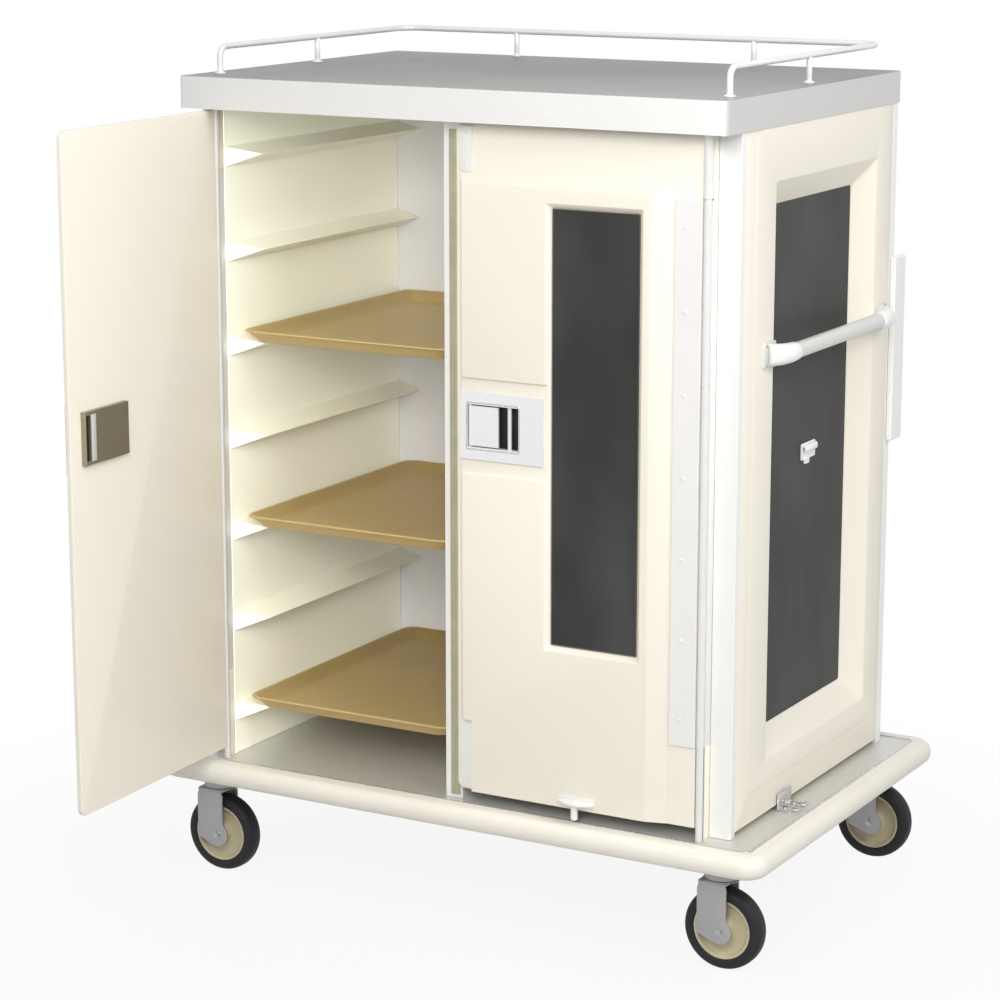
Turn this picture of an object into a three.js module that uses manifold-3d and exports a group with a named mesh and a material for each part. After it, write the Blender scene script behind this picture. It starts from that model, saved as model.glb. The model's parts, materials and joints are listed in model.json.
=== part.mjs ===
// Enclosed meal tray cart: a two-door stainless cabinet on a bumpered deck with four swivel casters.
// Millimetres, +Z up, the doors face -Y. The whole group is moved at the end so that its origin lies
// on the floor under the middle of its bounding box, with the left door standing open.
import * as THREE from 'three';
import { mergeVertices } from 'three/addons/utils/BufferGeometryUtils.js';
import Module from 'manifold-3d';

const wasm = await Module();
wasm.setup();

// ---- clearances ----
const seatGap = 0.3;          // between pieces that rest on or lie in each other
const doorFrontGap = 3;       // between a door's top edge and the cap's skirt
const doorFloorGap = 21;      // between a door's bottom edge and the deck
const wheelSideGap = 2.5;     // between a wheel hub and its fork leg
const wheelTopGap = 7;        // between a tyre and its fork crown
const paddleGap = 2;          // round the latch paddle in its cup
const camGap = 1.2;           // round the latch cam in its slot
const catchGap = 2;           // between a deck catch and its side panel
const frameEndGap = 2;        // between the caster frame's ends and the deck's skirt
const trayRearGap = 2;        // between a tray and the back wall

// ---- modelling margins ----
const weld = 1;               // how far joined bodies run into each other
const past = 1;               // how far a cutting body runs past the face that it cuts

// ---- casters ----
const wheelDiameter = 127;
const wheelWidth = 32;
const tyreDepth = 17.5;
const coreWidth = 28;
const hubRadius = 16;
const hubWidth = 35;
const hubDraft = 2;
const coreDish = 8;           // how far the core's web lies behind its rim
const coreRimWall = 6;
const coreRimChamfer = 3;
const tyreShoulder = 5;
const tyreCrown = 1.5;        // the tread's middle stands this far above its edges
const axleRadius = 5;
const axleHeadRadius = 9;
const axleHeadHeight = 5;
const forkLegThickness = 4;
const forkLegWidth = 48;
const forkLegLean = 13;       // the legs' middle line lies this far ahead of the axle
const forkBossRadius = 20;
const forkBossStart = 233;    // where the leg's front edge meets the boss, in degrees
const forkToeDrop = 7;        // the leg's front corner lies this far under the axle
const forkCrownThickness = 6;
const swivelRadius = 29;
const swivelStep = 2;         // the fixed race is this much smaller than the turning one
const swivelHeadHeight = 3;
const casterTrail = 6;
const casterPlateThickness = 6;
const casterPlateWidth = 100;
const casterPlateDepth = 84;
const casterHeight = 159;
const casterSpanX = 906;
const casterSpanY = 581;

// ---- deck and bumper ----
const deckWidth = 1014;
const deckDepth = 645;
const deckHeight = 39;
const deckSheet = 4;
const deckCentreY = 23.5;
const deckCornerRadius = 6;
const trackWall = 3.7;
const trackLip = 1.5;
const bumperReach = 30;
const bumperHeight = 36;
const bumperNose = 12;        // depth of the bumper's rounded front
const frameRailWidth = 90;
const frameSheet = 3;

// ---- cabinet ----
const cabinetWidth = 926;
const cabinetDepth = 582;
const cabinetFront = -263;
const cabinetHeight = 1100;   // deck top to cap top
const postWidth = 36;
const frontPostDepth = 15;
const rearPostDepth = 18;
const postWall = 2;
const linerSheet = 2.3;
const compartmentDepth = 518;
const backLinerWall = 3;
const rearPanelThickness = 3.4;
const dividerThickness = 20;
const stileWidth = 30;
const stileDepth = 51;
const capHeight = 49;
const capSheet = 3;
const capCornerRadius = 8;
const capPocketRadius = 1;
const capFrontOverhang = 59;
const capSideOverhang = 3.5;
const capRearOverhang = 3.5;

// ---- side panels ----
const sidePanelFloorGap = 8;
const sideInsetThickness = 9.8;
const sideWindowFront = 119;  // from the cabinet's front to the window's outer edge
const sideWindowWidth = 377;
const sideWindowSill = 96;    // from the deck to the window's outer edge
const sideWindowHeight = 873;
const sideBevel = 51;

// ---- tray ledges and trays ----
const ledgeCount = 7;
const ledgeRoot = 32;
const ledgeDrop = 13;         // the tip lies this far under the root's top edge
const ledgeReach = 44;
const ledgeFrontGap = 1;      // from the wall's front edge to the ledge
const ledgeEndCut = 40;       // the ledge's end is cut back this far at the tip
const topLedgeDepth = 112;    // from the cap's top to the top ledge's root
const bottomLedgeHeight = 88; // from the deck to the bottom ledge's root
const ledgePitch = (cabinetHeight - topLedgeDepth - bottomLedgeHeight) / (ledgeCount - 1);
const trayWidth = 381;
const trayLength = 508;
const trayHeight = 20;
const trayFlare = 15;
const traySheet = 2.6;
const trayCornerRadius = 22;
const trayLedges = [2, 4, 6];

// ---- doors ----
const hingeInset = 40;        // hinge axis inwards from the cabinet's side
const hingeForward = 26;      // hinge axis forwards from the cabinet's front
const rodDiameter = 12;
const doorSheet = 8;
const doorMeetingGap = 24;    // between the two doors' free edges
const doorOpenAngle = 88;     // how far the left door stands open at rest
const doorCornerRadius = 12;
const skinDepth = 9.7;
const skinHingeMargin = 50;
const skinFreeMargin = 6;
const skinTopMargin = 74;
const skinDraft = 8;
const cornerNotchWidth = 23;
const cornerNotchHeight = 114;
const windowHingeMargin = 96;
const windowWidth = 160;
const windowSill = 242.5;
const windowHeight = 675;
const windowSideBevel = 8;
const windowEndBevel = 8;
const doorInsetThickness = 1.5;
const leafWidth = 42;
const leafThickness = 2.3;
const leafSill = 124;
const leafHeight = 810;
const tabOffset = 167;
const tabWidth = 61;
const tabThickness = 5;
const tabReach = 28;
const tabPinRadius = 6;
const tabPinLength = 12;

// ---- latches ----
const latchHeight = 575;      // latch centre above the door's bottom edge
const recessDepth = 5;
const recessHeight = 146;
const recessOffset = 250;
const bezelOffset = 259;
const bezelWidth = 142;
const bezelHeight = 104;
const bezelThickness = 2.7;
const cupOffset = 299;
const cupWidth = 91;
const cupHeight = 69;
const cupDepth = 11;
const cupWall = 2;
const paddleWidth = 50;
const paddleThickness = 4;
const paddlePinRadius = 1.6;
const paddleSetback = 0.5;    // behind the bezel's face
const caseOffset = 273;
const caseWidth = 111;
const caseHeight = 80;
const caseDepth = 8.5;
const caseSlotWidth = 11;
const caseSlotWall = 2;
const caseSlotEnd = 6;
const camWidth = 5;
const camDepth = 4;
const camSetback = 1;         // behind the case's face

// ---- top rail, handles and small fittings ----
const railRodDiameter = 9.5;
const railHeight = 46;
const railFrontInset = 70;
const railSideInset = 30;
const railRearInset = 22;
const railPostSpan = 436;
const railFootRadius = 9;
const railFootHeight = 3;
const handleDiameter = 24;
const handleReach = 17.7;
const handleHeight = 719;     // above the deck
const handleFront = 99;       // bracket centre from the cabinet's front
const handleSpan = 422;
const handlePlateSize = 40;
const handlePlateThickness = 5;
const handleSocketRadius = 17;
const handleSocketLength = 44;
const guardWidth = 44;
const guardThickness = 10;
const guardLength = 298;
const guardHeight = 509;
const guardRearReach = 27;
const catchWidth = 50;
const catchReach = 36;
const catchHeight = 26;
const catchSheet = 4;
const catchSetback = 188;     // catch's middle from the cabinet's front
const catchLoopSize = 14;
const clipWidth = 52;
const clipHeight = 33;
const clipThickness = 8;
const clipRise = 533;
const clipSetback = 312;

// ---- places worked out from the sizes ----
const deckTop = casterHeight + deckHeight;
const capTop = deckTop + cabinetHeight;
const capBottom = capTop - capHeight;
const underCap = capTop - capSheet - seatGap;
const onDeck = deckTop + seatGap;
const cabinetRear = cabinetFront + cabinetDepth;
const cabinetSide = cabinetWidth / 2;
const linerOuter = cabinetSide - postWidth - seatGap;
const linerFace = linerOuter - linerSheet;
const backFace = cabinetFront + compartmentDepth;
const hingeX = cabinetSide - hingeInset;
const hingeY = cabinetFront - hingeForward;
const doorWidth = hingeX - doorMeetingGap / 2;
const doorBottom = deckTop + doorFloorGap;
const doorTop = capBottom - doorFrontGap;
const wheelRadius = wheelDiameter / 2;
const topLedgeRoot = capTop - topLedgeDepth;
const ledgeRear = backFace - seatGap;

// ---- solids ----
function toSolid(geometry) {
  const bare = geometry.clone();
  bare.deleteAttribute('normal');
  bare.deleteAttribute('uv');
  const merged = mergeVertices(bare, 1e-4);
  const vertProperties = new Float32Array(merged.attributes.position.array);
  const triVerts = new Uint32Array(merged.index.array);
  return new wasm.Manifold(new wasm.Mesh({ numProp: 3, vertProperties, triVerts }));
}

function toGeometry(solid) {
  const mesh = solid.getMesh();
  const geometry = new THREE.BufferGeometry();
  geometry.setAttribute('position', new THREE.BufferAttribute(new Float32Array(mesh.vertProperties), 3));
  geometry.setIndex(new THREE.BufferAttribute(new Uint32Array(mesh.triVerts), 1));
  return geometry;
}

function join(...geometries) {
  return toGeometry(geometries.map(toSolid).reduce((whole, next) => whole.add(next)));
}

function cut(body, ...tools) {
  return toGeometry(tools.map(toSolid).reduce((whole, tool) => whole.subtract(tool), toSolid(body)));
}

// a box from its limits; each pair may come in either order
function box(x0, x1, y0, y1, z0, z1) {
  const geometry = new THREE.BoxGeometry(Math.abs(x1 - x0), Math.abs(y1 - y0), Math.abs(z1 - z0));
  return geometry.translate((x0 + x1) / 2, (y0 + y1) / 2, (z0 + z1) / 2);
}

// a block whose four corners run straight from one rectangle to another
function taper(firstRing, secondRing) {
  const geometry = new THREE.BufferGeometry();
  const points = [...firstRing, ...secondRing].flat();
  const faces = [0, 2, 1, 0, 3, 2, 4, 5, 6, 4, 6, 7];
  for (let side = 0; side < 4; side += 1) {
    const next = (side + 1) % 4;
    faces.push(side, next, next + 4, side, next + 4, side + 4);
  }
  geometry.setAttribute('position', new THREE.BufferAttribute(new Float32Array(points), 3));
  geometry.setIndex(faces);
  const volume = toSolid(geometry).volume();
  if (volume < 0) {
    geometry.setIndex(faces.reverse());
  }
  return geometry;
}

function rodBetween(start, end, radius, sides = 12) {
  const axis = new THREE.Vector3().subVectors(end, start);
  const geometry = new THREE.CylinderGeometry(radius, radius, axis.length(), sides);
  const up = new THREE.Vector3(0, 1, 0);
  const turn = new THREE.Quaternion().setFromUnitVectors(up, axis.clone().normalize());
  geometry.applyQuaternion(turn);
  const middle = new THREE.Vector3().addVectors(start, end).multiplyScalar(0.5);
  return geometry.translate(middle.x, middle.y, middle.z);
}

function upright(x, y, z0, z1, radius, sides = 16) {
  return rodBetween(new THREE.Vector3(x, y, z0), new THREE.Vector3(x, y, z1), radius, sides);
}

function roundedRectangle(width, depth, radius, centreY = 0) {
  const x = width / 2;
  const y0 = centreY - depth / 2;
  const y1 = centreY + depth / 2;
  const shape = new THREE.Shape();
  shape.moveTo(-x + radius, y0);
  shape.lineTo(x - radius, y0);
  shape.absarc(x - radius, y0 + radius, radius, -Math.PI / 2, 0);
  shape.lineTo(x, y1 - radius);
  shape.absarc(x - radius, y1 - radius, radius, 0, Math.PI / 2);
  shape.lineTo(-x + radius, y1);
  shape.absarc(-x + radius, y1 - radius, radius, Math.PI / 2, Math.PI);
  shape.lineTo(-x, y0 + radius);
  shape.absarc(-x + radius, y0 + radius, radius, Math.PI, 1.5 * Math.PI);
  return shape;
}

function plate(shape, z0, z1, curveSegments = 4) {
  const geometry = new THREE.ExtrudeGeometry(shape, { depth: z1 - z0, bevelEnabled: false, curveSegments });
  return geometry.translate(0, 0, z0);
}

function tubePost(x0, x1, y0, y1, z0, z1, wall) {
  const bore = box(x0 + wall, x1 - wall, y0 + wall, y1 - wall, z0 - past, z1 + past);
  return cut(box(x0, x1, y0, y1, z0, z1), bore);
}

function material(colour, roughness, metalness) {
  return new THREE.MeshStandardMaterial({ color: colour, roughness, metalness });
}

const cream = () => material(0xf3ecdc, 0.45, 0);
const creamLiner = () => material(0xdedfc8, 0.5, 0);
const creamVinyl = () => material(0xf1e8d3, 0.6, 0);
const stainless = () => material(0xd6d7d8, 0.3, 0.9);
const brightSteel = () => material(0xe6e7e8, 0.2, 0.95);
const whiteSteel = () => material(0xe9e9e9, 0.4, 0.2);
const darkGlass = () => material(0x464646, 0.35, 0.1);
const latchSteel = () => material(0x8d8878, 0.35, 0.7);
const casterSteel = () => material(0xa5a5a9, 0.5, 0.5);
const casterCore = () => material(0xc3b995, 0.55, 0);
const tyreRubber = () => material(0x373737, 0.8, 0);
const trayResin = () => material(0xc8af7d, 0.6, 0);

function piece(group, name, geometry, finish) {
  const mesh = new THREE.Mesh(geometry, finish);
  mesh.name = name;
  group.add(mesh);
  return mesh;
}

// ---- deck, bumper and caster frame ----
function addDeck(cart) {
  const deckBottom = casterHeight + frameSheet;
  const pocketWidth = deckWidth - 2 * deckSheet;
  const pocketDepth = deckDepth - 2 * deckSheet;
  const outline = roundedRectangle(deckWidth, deckDepth, deckCornerRadius, deckCentreY);
  const pocket = roundedRectangle(pocketWidth, pocketDepth, deckCornerRadius, deckCentreY);
  const hollow = plate(pocket, deckBottom - past, deckTop - deckSheet);
  piece(cart, 'base_deck', cut(plate(outline, deckBottom, deckTop), hollow), stainless());

  const inner = 2 * seatGap;
  const outer = inner + 2 * trackWall;
  const trackRadius = deckCornerRadius + trackWall;
  const trackOutline = roundedRectangle(deckWidth + outer, deckDepth + outer, trackRadius, deckCentreY);
  const trackHole = roundedRectangle(deckWidth + inner, deckDepth + inner, deckCornerRadius, deckCentreY);
  const bumperBottom = deckTop - bumperHeight;
  const track = cut(
    plate(trackOutline, bumperBottom, deckTop + trackLip),
    plate(trackHole, bumperBottom - past, deckTop + trackLip + past),
  );
  piece(cart, 'bumper_track', track, brightSteel());
  piece(cart, 'bumper', bumperRing(outer + inner, bumperBottom), creamVinyl());
}

// the bumper's half-round section is swept round the deck
function bumperRing(margin, bottom) {
  const insideX = (deckWidth + margin) / 2;
  const insideY = (deckDepth + margin) / 2;
  const cornerSteps = 6;
  const innerRadius = deckCornerRadius + trackWall;
  const stations = [];
  [[1, -1, -90], [1, 1, 0], [-1, 1, 90], [-1, -1, 180]].forEach(([signX, signY, startAngle]) => {
    for (let step = 0; step <= cornerSteps; step += 1) {
      const angle = THREE.MathUtils.degToRad(startAngle + (90 * step) / cornerSteps);
      stations.push({
        x: signX * (insideX - innerRadius),
        y: deckCentreY + signY * (insideY - innerRadius),
        outX: Math.cos(angle),
        outY: Math.sin(angle),
      });
    }
  });
  const half = bumperHeight / 2;
  const noseStart = bumperReach - bumperNose;
  const section = [[0, -half], [noseStart, -half]];
  const arcSteps = 6;
  for (let step = 1; step < arcSteps; step += 1) {
    const angle = -Math.PI / 2 + (Math.PI * step) / arcSteps;
    section.push([noseStart + bumperNose * Math.cos(angle), half * Math.sin(angle)]);
  }
  section.push([noseStart, half], [0, half]);
  const points = [];
  const faces = [];
  stations.forEach((station, index) => {
    section.forEach(([reach, rise]) => {
      const out = innerRadius + reach;
      points.push(station.x + out * station.outX, station.y + out * station.outY, bottom + half + rise);
    });
    const next = (index + 1) % stations.length;
    section.forEach((_, corner) => {
      const nextCorner = (corner + 1) % section.length;
      const here = index * section.length;
      const there = next * section.length;
      faces.push(here + corner, there + corner, there + nextCorner);
      faces.push(here + corner, there + nextCorner, here + nextCorner);
    });
  });
  const ring = new THREE.BufferGeometry();
  ring.setAttribute('position', new THREE.BufferAttribute(new Float32Array(points), 3));
  ring.setIndex(faces);
  return ring;
}

function casterPlaces() {
  const x = casterSpanX / 2;
  const y = casterSpanY / 2;
  return [
    ['front_left', -x, deckCentreY - y],
    ['front_right', x, deckCentreY - y],
    ['rear_left', -x, deckCentreY + y],
    ['rear_right', x, deckCentreY + y],
  ];
}

function addBaseFrame(cart) {
  const railTop = deckTop - deckSheet - seatGap;
  const railFront = deckCentreY - deckDepth / 2 + deckSheet + frameEndGap;
  const railRear = deckCentreY + deckDepth / 2 - deckSheet - frameEndGap;
  const parts = [];
  [-1, 1].forEach((side) => {
    const middle = side * (casterSpanX / 2);
    const inner = middle - frameRailWidth / 2;
    const outer = middle + frameRailWidth / 2;
    parts.push(box(inner, outer, railFront, railRear, casterHeight, casterHeight + frameSheet));
    parts.push(box(inner, inner + frameSheet, railFront, railRear, casterHeight, railTop));
    parts.push(box(outer - frameSheet, outer, railFront, railRear, casterHeight, railTop));
  });
  [-1, 1].forEach((side) => {
    const middle = deckCentreY + side * (deckDepth / 4);
    const reach = (casterSpanX - frameRailWidth) / 2 + weld;
    parts.push(box(-reach, reach, middle - frameSheet, middle + frameSheet, casterHeight, railTop));
  });
  casterPlaces().forEach(([, x, y]) => {
    const halfX = casterPlateWidth / 2;
    const halfY = casterPlateDepth / 2;
    const front = Math.max(y - halfY, railFront);
    const rear = Math.min(y + halfY, railRear);
    const plateBottom = casterHeight - casterPlateThickness;
    parts.push(box(x - halfX, x + halfX, front, rear, plateBottom, casterHeight + weld));
    parts.push(upright(x, y, swivelTop(), casterHeight - weld, swivelRadius - swivelStep, 20));
  });
  piece(cart, 'base_frame', join(...parts), casterSteel());
}

function swivelTop() {
  return wheelDiameter + wheelTopGap + forkCrownThickness + swivelHeadHeight;
}

// ---- posts, walls and divider ----
function addPosts(cart) {
  [['left', -1], ['right', 1]].forEach(([sideName, side]) => {
    const inner = side * (cabinetSide - postWidth);
    const outer = side * cabinetSide;
    const low = Math.min(inner, outer);
    const high = Math.max(inner, outer);
    const frontRear = cabinetFront + frontPostDepth;
    const front = tubePost(low, high, cabinetFront, frontRear, onDeck, underCap, postWall);
    piece(cart, `post_front_${sideName}`, front, stainless());
    const rearFront = cabinetRear - rearPostDepth;
    const rear = tubePost(low, high, rearFront, cabinetRear, onDeck, underCap, postWall);
    piece(cart, `post_rear_${sideName}`, rear, stainless());
  });
}

function addSidePanels(cart) {
  const panelFront = cabinetFront + frontPostDepth + seatGap;
  const panelRear = cabinetRear - rearPostDepth - seatGap;
  const windowY0 = cabinetFront + sideWindowFront;
  const windowY1 = windowY0 + sideWindowWidth;
  const windowZ0 = deckTop + sideWindowSill;
  const windowZ1 = windowZ0 + sideWindowHeight;
  const ring = (x, inset) => [
    [x, windowY0 + inset, windowZ0 + inset],
    [x, windowY1 - inset, windowZ0 + inset],
    [x, windowY1 - inset, windowZ1 - inset],
    [x, windowY0 + inset, windowZ1 - inset],
  ];
  [['left', -1], ['right', 1]].forEach(([sideName, side]) => {
    const inner = side * (linerOuter + seatGap);
    const outer = side * cabinetSide;
    const slab = box(inner, outer, panelFront, panelRear, deckTop + sidePanelFloorGap, underCap);
    const slope = sideBevel / (cabinetSide - linerOuter - seatGap);
    const back = ring(inner - side * past, sideBevel + past * slope);
    const window = taper(back, ring(outer + side * past, -past * slope));
    piece(cart, `side_panel_${sideName}`, cut(slab, window), cream());
    const insetOuter = side * (linerOuter + seatGap + sideInsetThickness);
    const insetShrink = sideBevel + seatGap;
    const shift = sideInsetThickness * slope;
    const inset = taper(ring(inner, insetShrink), ring(insetOuter, insetShrink - shift));
    piece(cart, `side_inset_${sideName}`, inset, darkGlass());
  });
}

// one ledge is a V-shaped rib; side says which way it points along X
function ledge(wallX, side, front, rear, index) {
  const rootTop = topLedgeRoot - index * ledgePitch;
  const rootBottom = rootTop - ledgeRoot;
  const tipZ = rootTop - ledgeDrop;
  const tipX = wallX + side * ledgeReach;
  const rootX = wallX - side * weld;
  const points = [
    rootX, front, rootTop, rootX, front, rootBottom, tipX, front + ledgeEndCut, tipZ,
    rootX, rear, rootTop, rootX, rear, rootBottom, tipX, rear, tipZ,
  ];
  const faces = [0, 1, 2, 3, 5, 4, 0, 3, 4, 0, 4, 1, 1, 4, 5, 1, 5, 2, 2, 5, 3, 2, 3, 0];
  const geometry = new THREE.BufferGeometry();
  geometry.setAttribute('position', new THREE.BufferAttribute(new Float32Array(points), 3));
  geometry.setIndex(side > 0 ? faces : faces.reverse());
  return geometry;
}

function ledges(wallX, side, wallFront) {
  const rows = [];
  for (let index = 0; index < ledgeCount; index += 1) {
    rows.push(ledge(wallX, side, wallFront + ledgeFrontGap, ledgeRear, index));
  }
  return rows;
}

function addInterior(cart) {
  [['left', -1], ['right', 1]].forEach(([sideName, side]) => {
    const face = side * linerFace;
    const sheet = box(face, side * linerOuter, cabinetFront, ledgeRear, onDeck, underCap);
    piece(cart, `liner_${sideName}`, join(sheet, ...ledges(face, -side, cabinetFront)), creamLiner());
  });
  const dividerFace = dividerThickness / 2;
  const stileFront = hingeY + doorSheet / 2 + seatGap;
  const stileRear = stileFront + stileDepth;
  const dividerFront = stileRear + seatGap;
  const core = box(-dividerFace, dividerFace, dividerFront, ledgeRear, onDeck, underCap);
  const rows = [-1, 1].flatMap((side) => ledges(side * dividerFace, side, dividerFront));
  piece(cart, 'divider', join(core, ...rows), creamLiner());
  const stile = box(-stileWidth / 2, stileWidth / 2, stileFront, stileRear, onDeck, underCap);
  piece(cart, 'center_stile', stile, whiteSteel());
}

function addRearWall(cart) {
  const reach = linerOuter;
  const panelFront = cabinetRear - rearPanelThickness;
  const panel = box(-reach, reach, panelFront, cabinetRear, onDeck, underCap);
  piece(cart, 'rear_panel', panel, cream());
  const linerRear = panelFront - seatGap;
  const shell = box(-reach, reach, backFace, linerRear, onDeck, underCap);
  const pocket = box(
    -reach + backLinerWall, reach - backLinerWall, backFace + backLinerWall, linerRear + past,
    onDeck + backLinerWall, underCap - backLinerWall,
  );
  piece(cart, 'back_liner', cut(shell, pocket), whiteSteel());
}

function capLimits() {
  const front = cabinetFront - capFrontOverhang;
  const rear = cabinetRear + capRearOverhang;
  const width = cabinetWidth + 2 * capSideOverhang;
  return { width, depth: rear - front, centreY: (front + rear) / 2, front, rear };
}

function addTop(cart) {
  const { width, depth, centreY, front, rear } = capLimits();
  const outline = roundedRectangle(width, depth, capCornerRadius, centreY);
  const inside = roundedRectangle(width - 2 * capSheet, depth - 2 * capSheet, capPocketRadius, centreY);
  const cap = cut(plate(outline, capBottom, capTop), plate(inside, capBottom - past, capTop - capSheet));
  piece(cart, 'top_cap', cap, stainless());

  const radius = railRodDiameter / 2;
  const railZ = capTop + railHeight - radius;
  const foot = capTop + seatGap;
  const x = width / 2 - railSideInset;
  const frontY = front + railFrontInset;
  const rearY = rear - railRearInset;
  const at = (px, py, pz) => new THREE.Vector3(px, py, pz);
  const runs = [
    rodBetween(at(-x, frontY, railZ), at(-x, rearY, railZ), radius),
    rodBetween(at(-x, rearY, railZ), at(x, rearY, railZ), radius),
    rodBetween(at(x, rearY, railZ), at(x, frontY, railZ), radius),
  ];
  const corners = [[-x, frontY], [-x, rearY], [x, rearY], [x, frontY]];
  corners.forEach(([cornerX, cornerY]) => {
    runs.push(new THREE.SphereGeometry(radius, 12, 8).translate(cornerX, cornerY, railZ));
  });
  const middleY = (frontY + rearY) / 2;
  const halfSpan = railPostSpan / 2;
  const posts = [
    [-x, frontY], [x, frontY], [-x, middleY], [x, middleY], [-halfSpan, rearY], [halfSpan, rearY],
  ];
  posts.forEach(([postX, postY]) => {
    runs.push(upright(postX, postY, foot, railZ, radius, 12));
    runs.push(upright(postX, postY, foot, foot + railFootHeight, railFootRadius, 12));
  });
  piece(cart, 'top_rail', join(...runs), brightSteel());
}

// ---- handles, guards, catches and clip ----
function addSideFittings(cart) {
  [['left', -1], ['right', 1]].forEach(([sideName, side]) => {
    const face = cabinetSide + seatGap;
    const outX = side * (face + handleReach);
    const level = deckTop + handleHeight;
    const bars = [];
    const ends = [cabinetFront + handleFront, cabinetFront + handleFront + handleSpan];
    ends.forEach((y, index) => {
      const half = handlePlateSize / 2;
      const plateX = side * (face + handlePlateThickness);
      const inward = index === 0 ? 1 : -1;
      bars.push(box(side * face, plateX, y - half, y + half, level - half, level + half));
      const start = new THREE.Vector3(side * (face + weld), y, level);
      const elbow = new THREE.Vector3(outX, y + inward * handleSocketLength, level);
      bars.push(rodBetween(start, elbow, handleSocketRadius, 16));
    });
    const tubeStart = new THREE.Vector3(outX, ends[0] + handleSocketLength - handleSocketRadius, level);
    const tubeEnd = new THREE.Vector3(outX, ends[1] - handleSocketLength + handleSocketRadius, level);
    bars.push(rodBetween(tubeStart, tubeEnd, handleDiameter / 2, 16));
    const behind = box(
      side * (face - handlePlateSize), side * face, ends[0] - handlePlateSize, ends[1] + handlePlateSize,
      level - handlePlateSize, level + handlePlateSize,
    );
    piece(cart, `push_handle_${sideName}`, cut(join(...bars), behind), whiteSteel());

    const guardRear = cabinetRear + guardRearReach;
    const guardBottom = deckTop + guardHeight;
    const guard = box(
      side * face, side * (face + guardThickness), guardRear - guardWidth, guardRear,
      guardBottom, guardBottom + guardLength,
    );
    piece(cart, `guard_bar_${sideName}`, guard, whiteSteel());
    piece(cart, `deck_catch_${sideName}`, catchBracket(side), brightSteel());
  });
  const clipY = cabinetFront + clipSetback;
  const clipZ = deckTop + clipRise;
  const clipX = linerOuter + seatGap + sideInsetThickness + seatGap;
  const halfClip = clipWidth / 2;
  const slab = (thickness, z0, z1) => box(
    clipX, clipX + thickness, clipY - halfClip, clipY + halfClip, z0, z1,
  );
  const clip = join(
    slab(clipThickness / 2, clipZ - clipHeight / 2, clipZ + clipHeight / 2),
    slab(clipThickness, clipZ, clipZ + clipHeight / 2),
  );
  piece(cart, 'card_clip', clip, whiteSteel());
}

function catchBracket(side) {
  const face = cabinetSide + catchGap;
  const y = cabinetFront + catchSetback;
  const half = catchWidth / 2;
  const tongueTop = onDeck + catchHeight;
  const foot = box(side * face, side * (face + catchReach), y - half, y + half, onDeck, onDeck + catchSheet);
  const back = box(side * face, side * (face + catchSheet), y - half, y + half, onDeck, tongueTop);
  const ears = [-1, 1].map((end) => {
    const middle = y + end * (half - catchLoopSize / 2);
    const reach = face + catchReach;
    return box(
      side * (reach - catchLoopSize), side * reach,
      middle - catchSheet / 2, middle + catchSheet / 2, onDeck, onDeck + catchLoopSize,
    );
  });
  return join(foot, back, ...ears);
}

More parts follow.
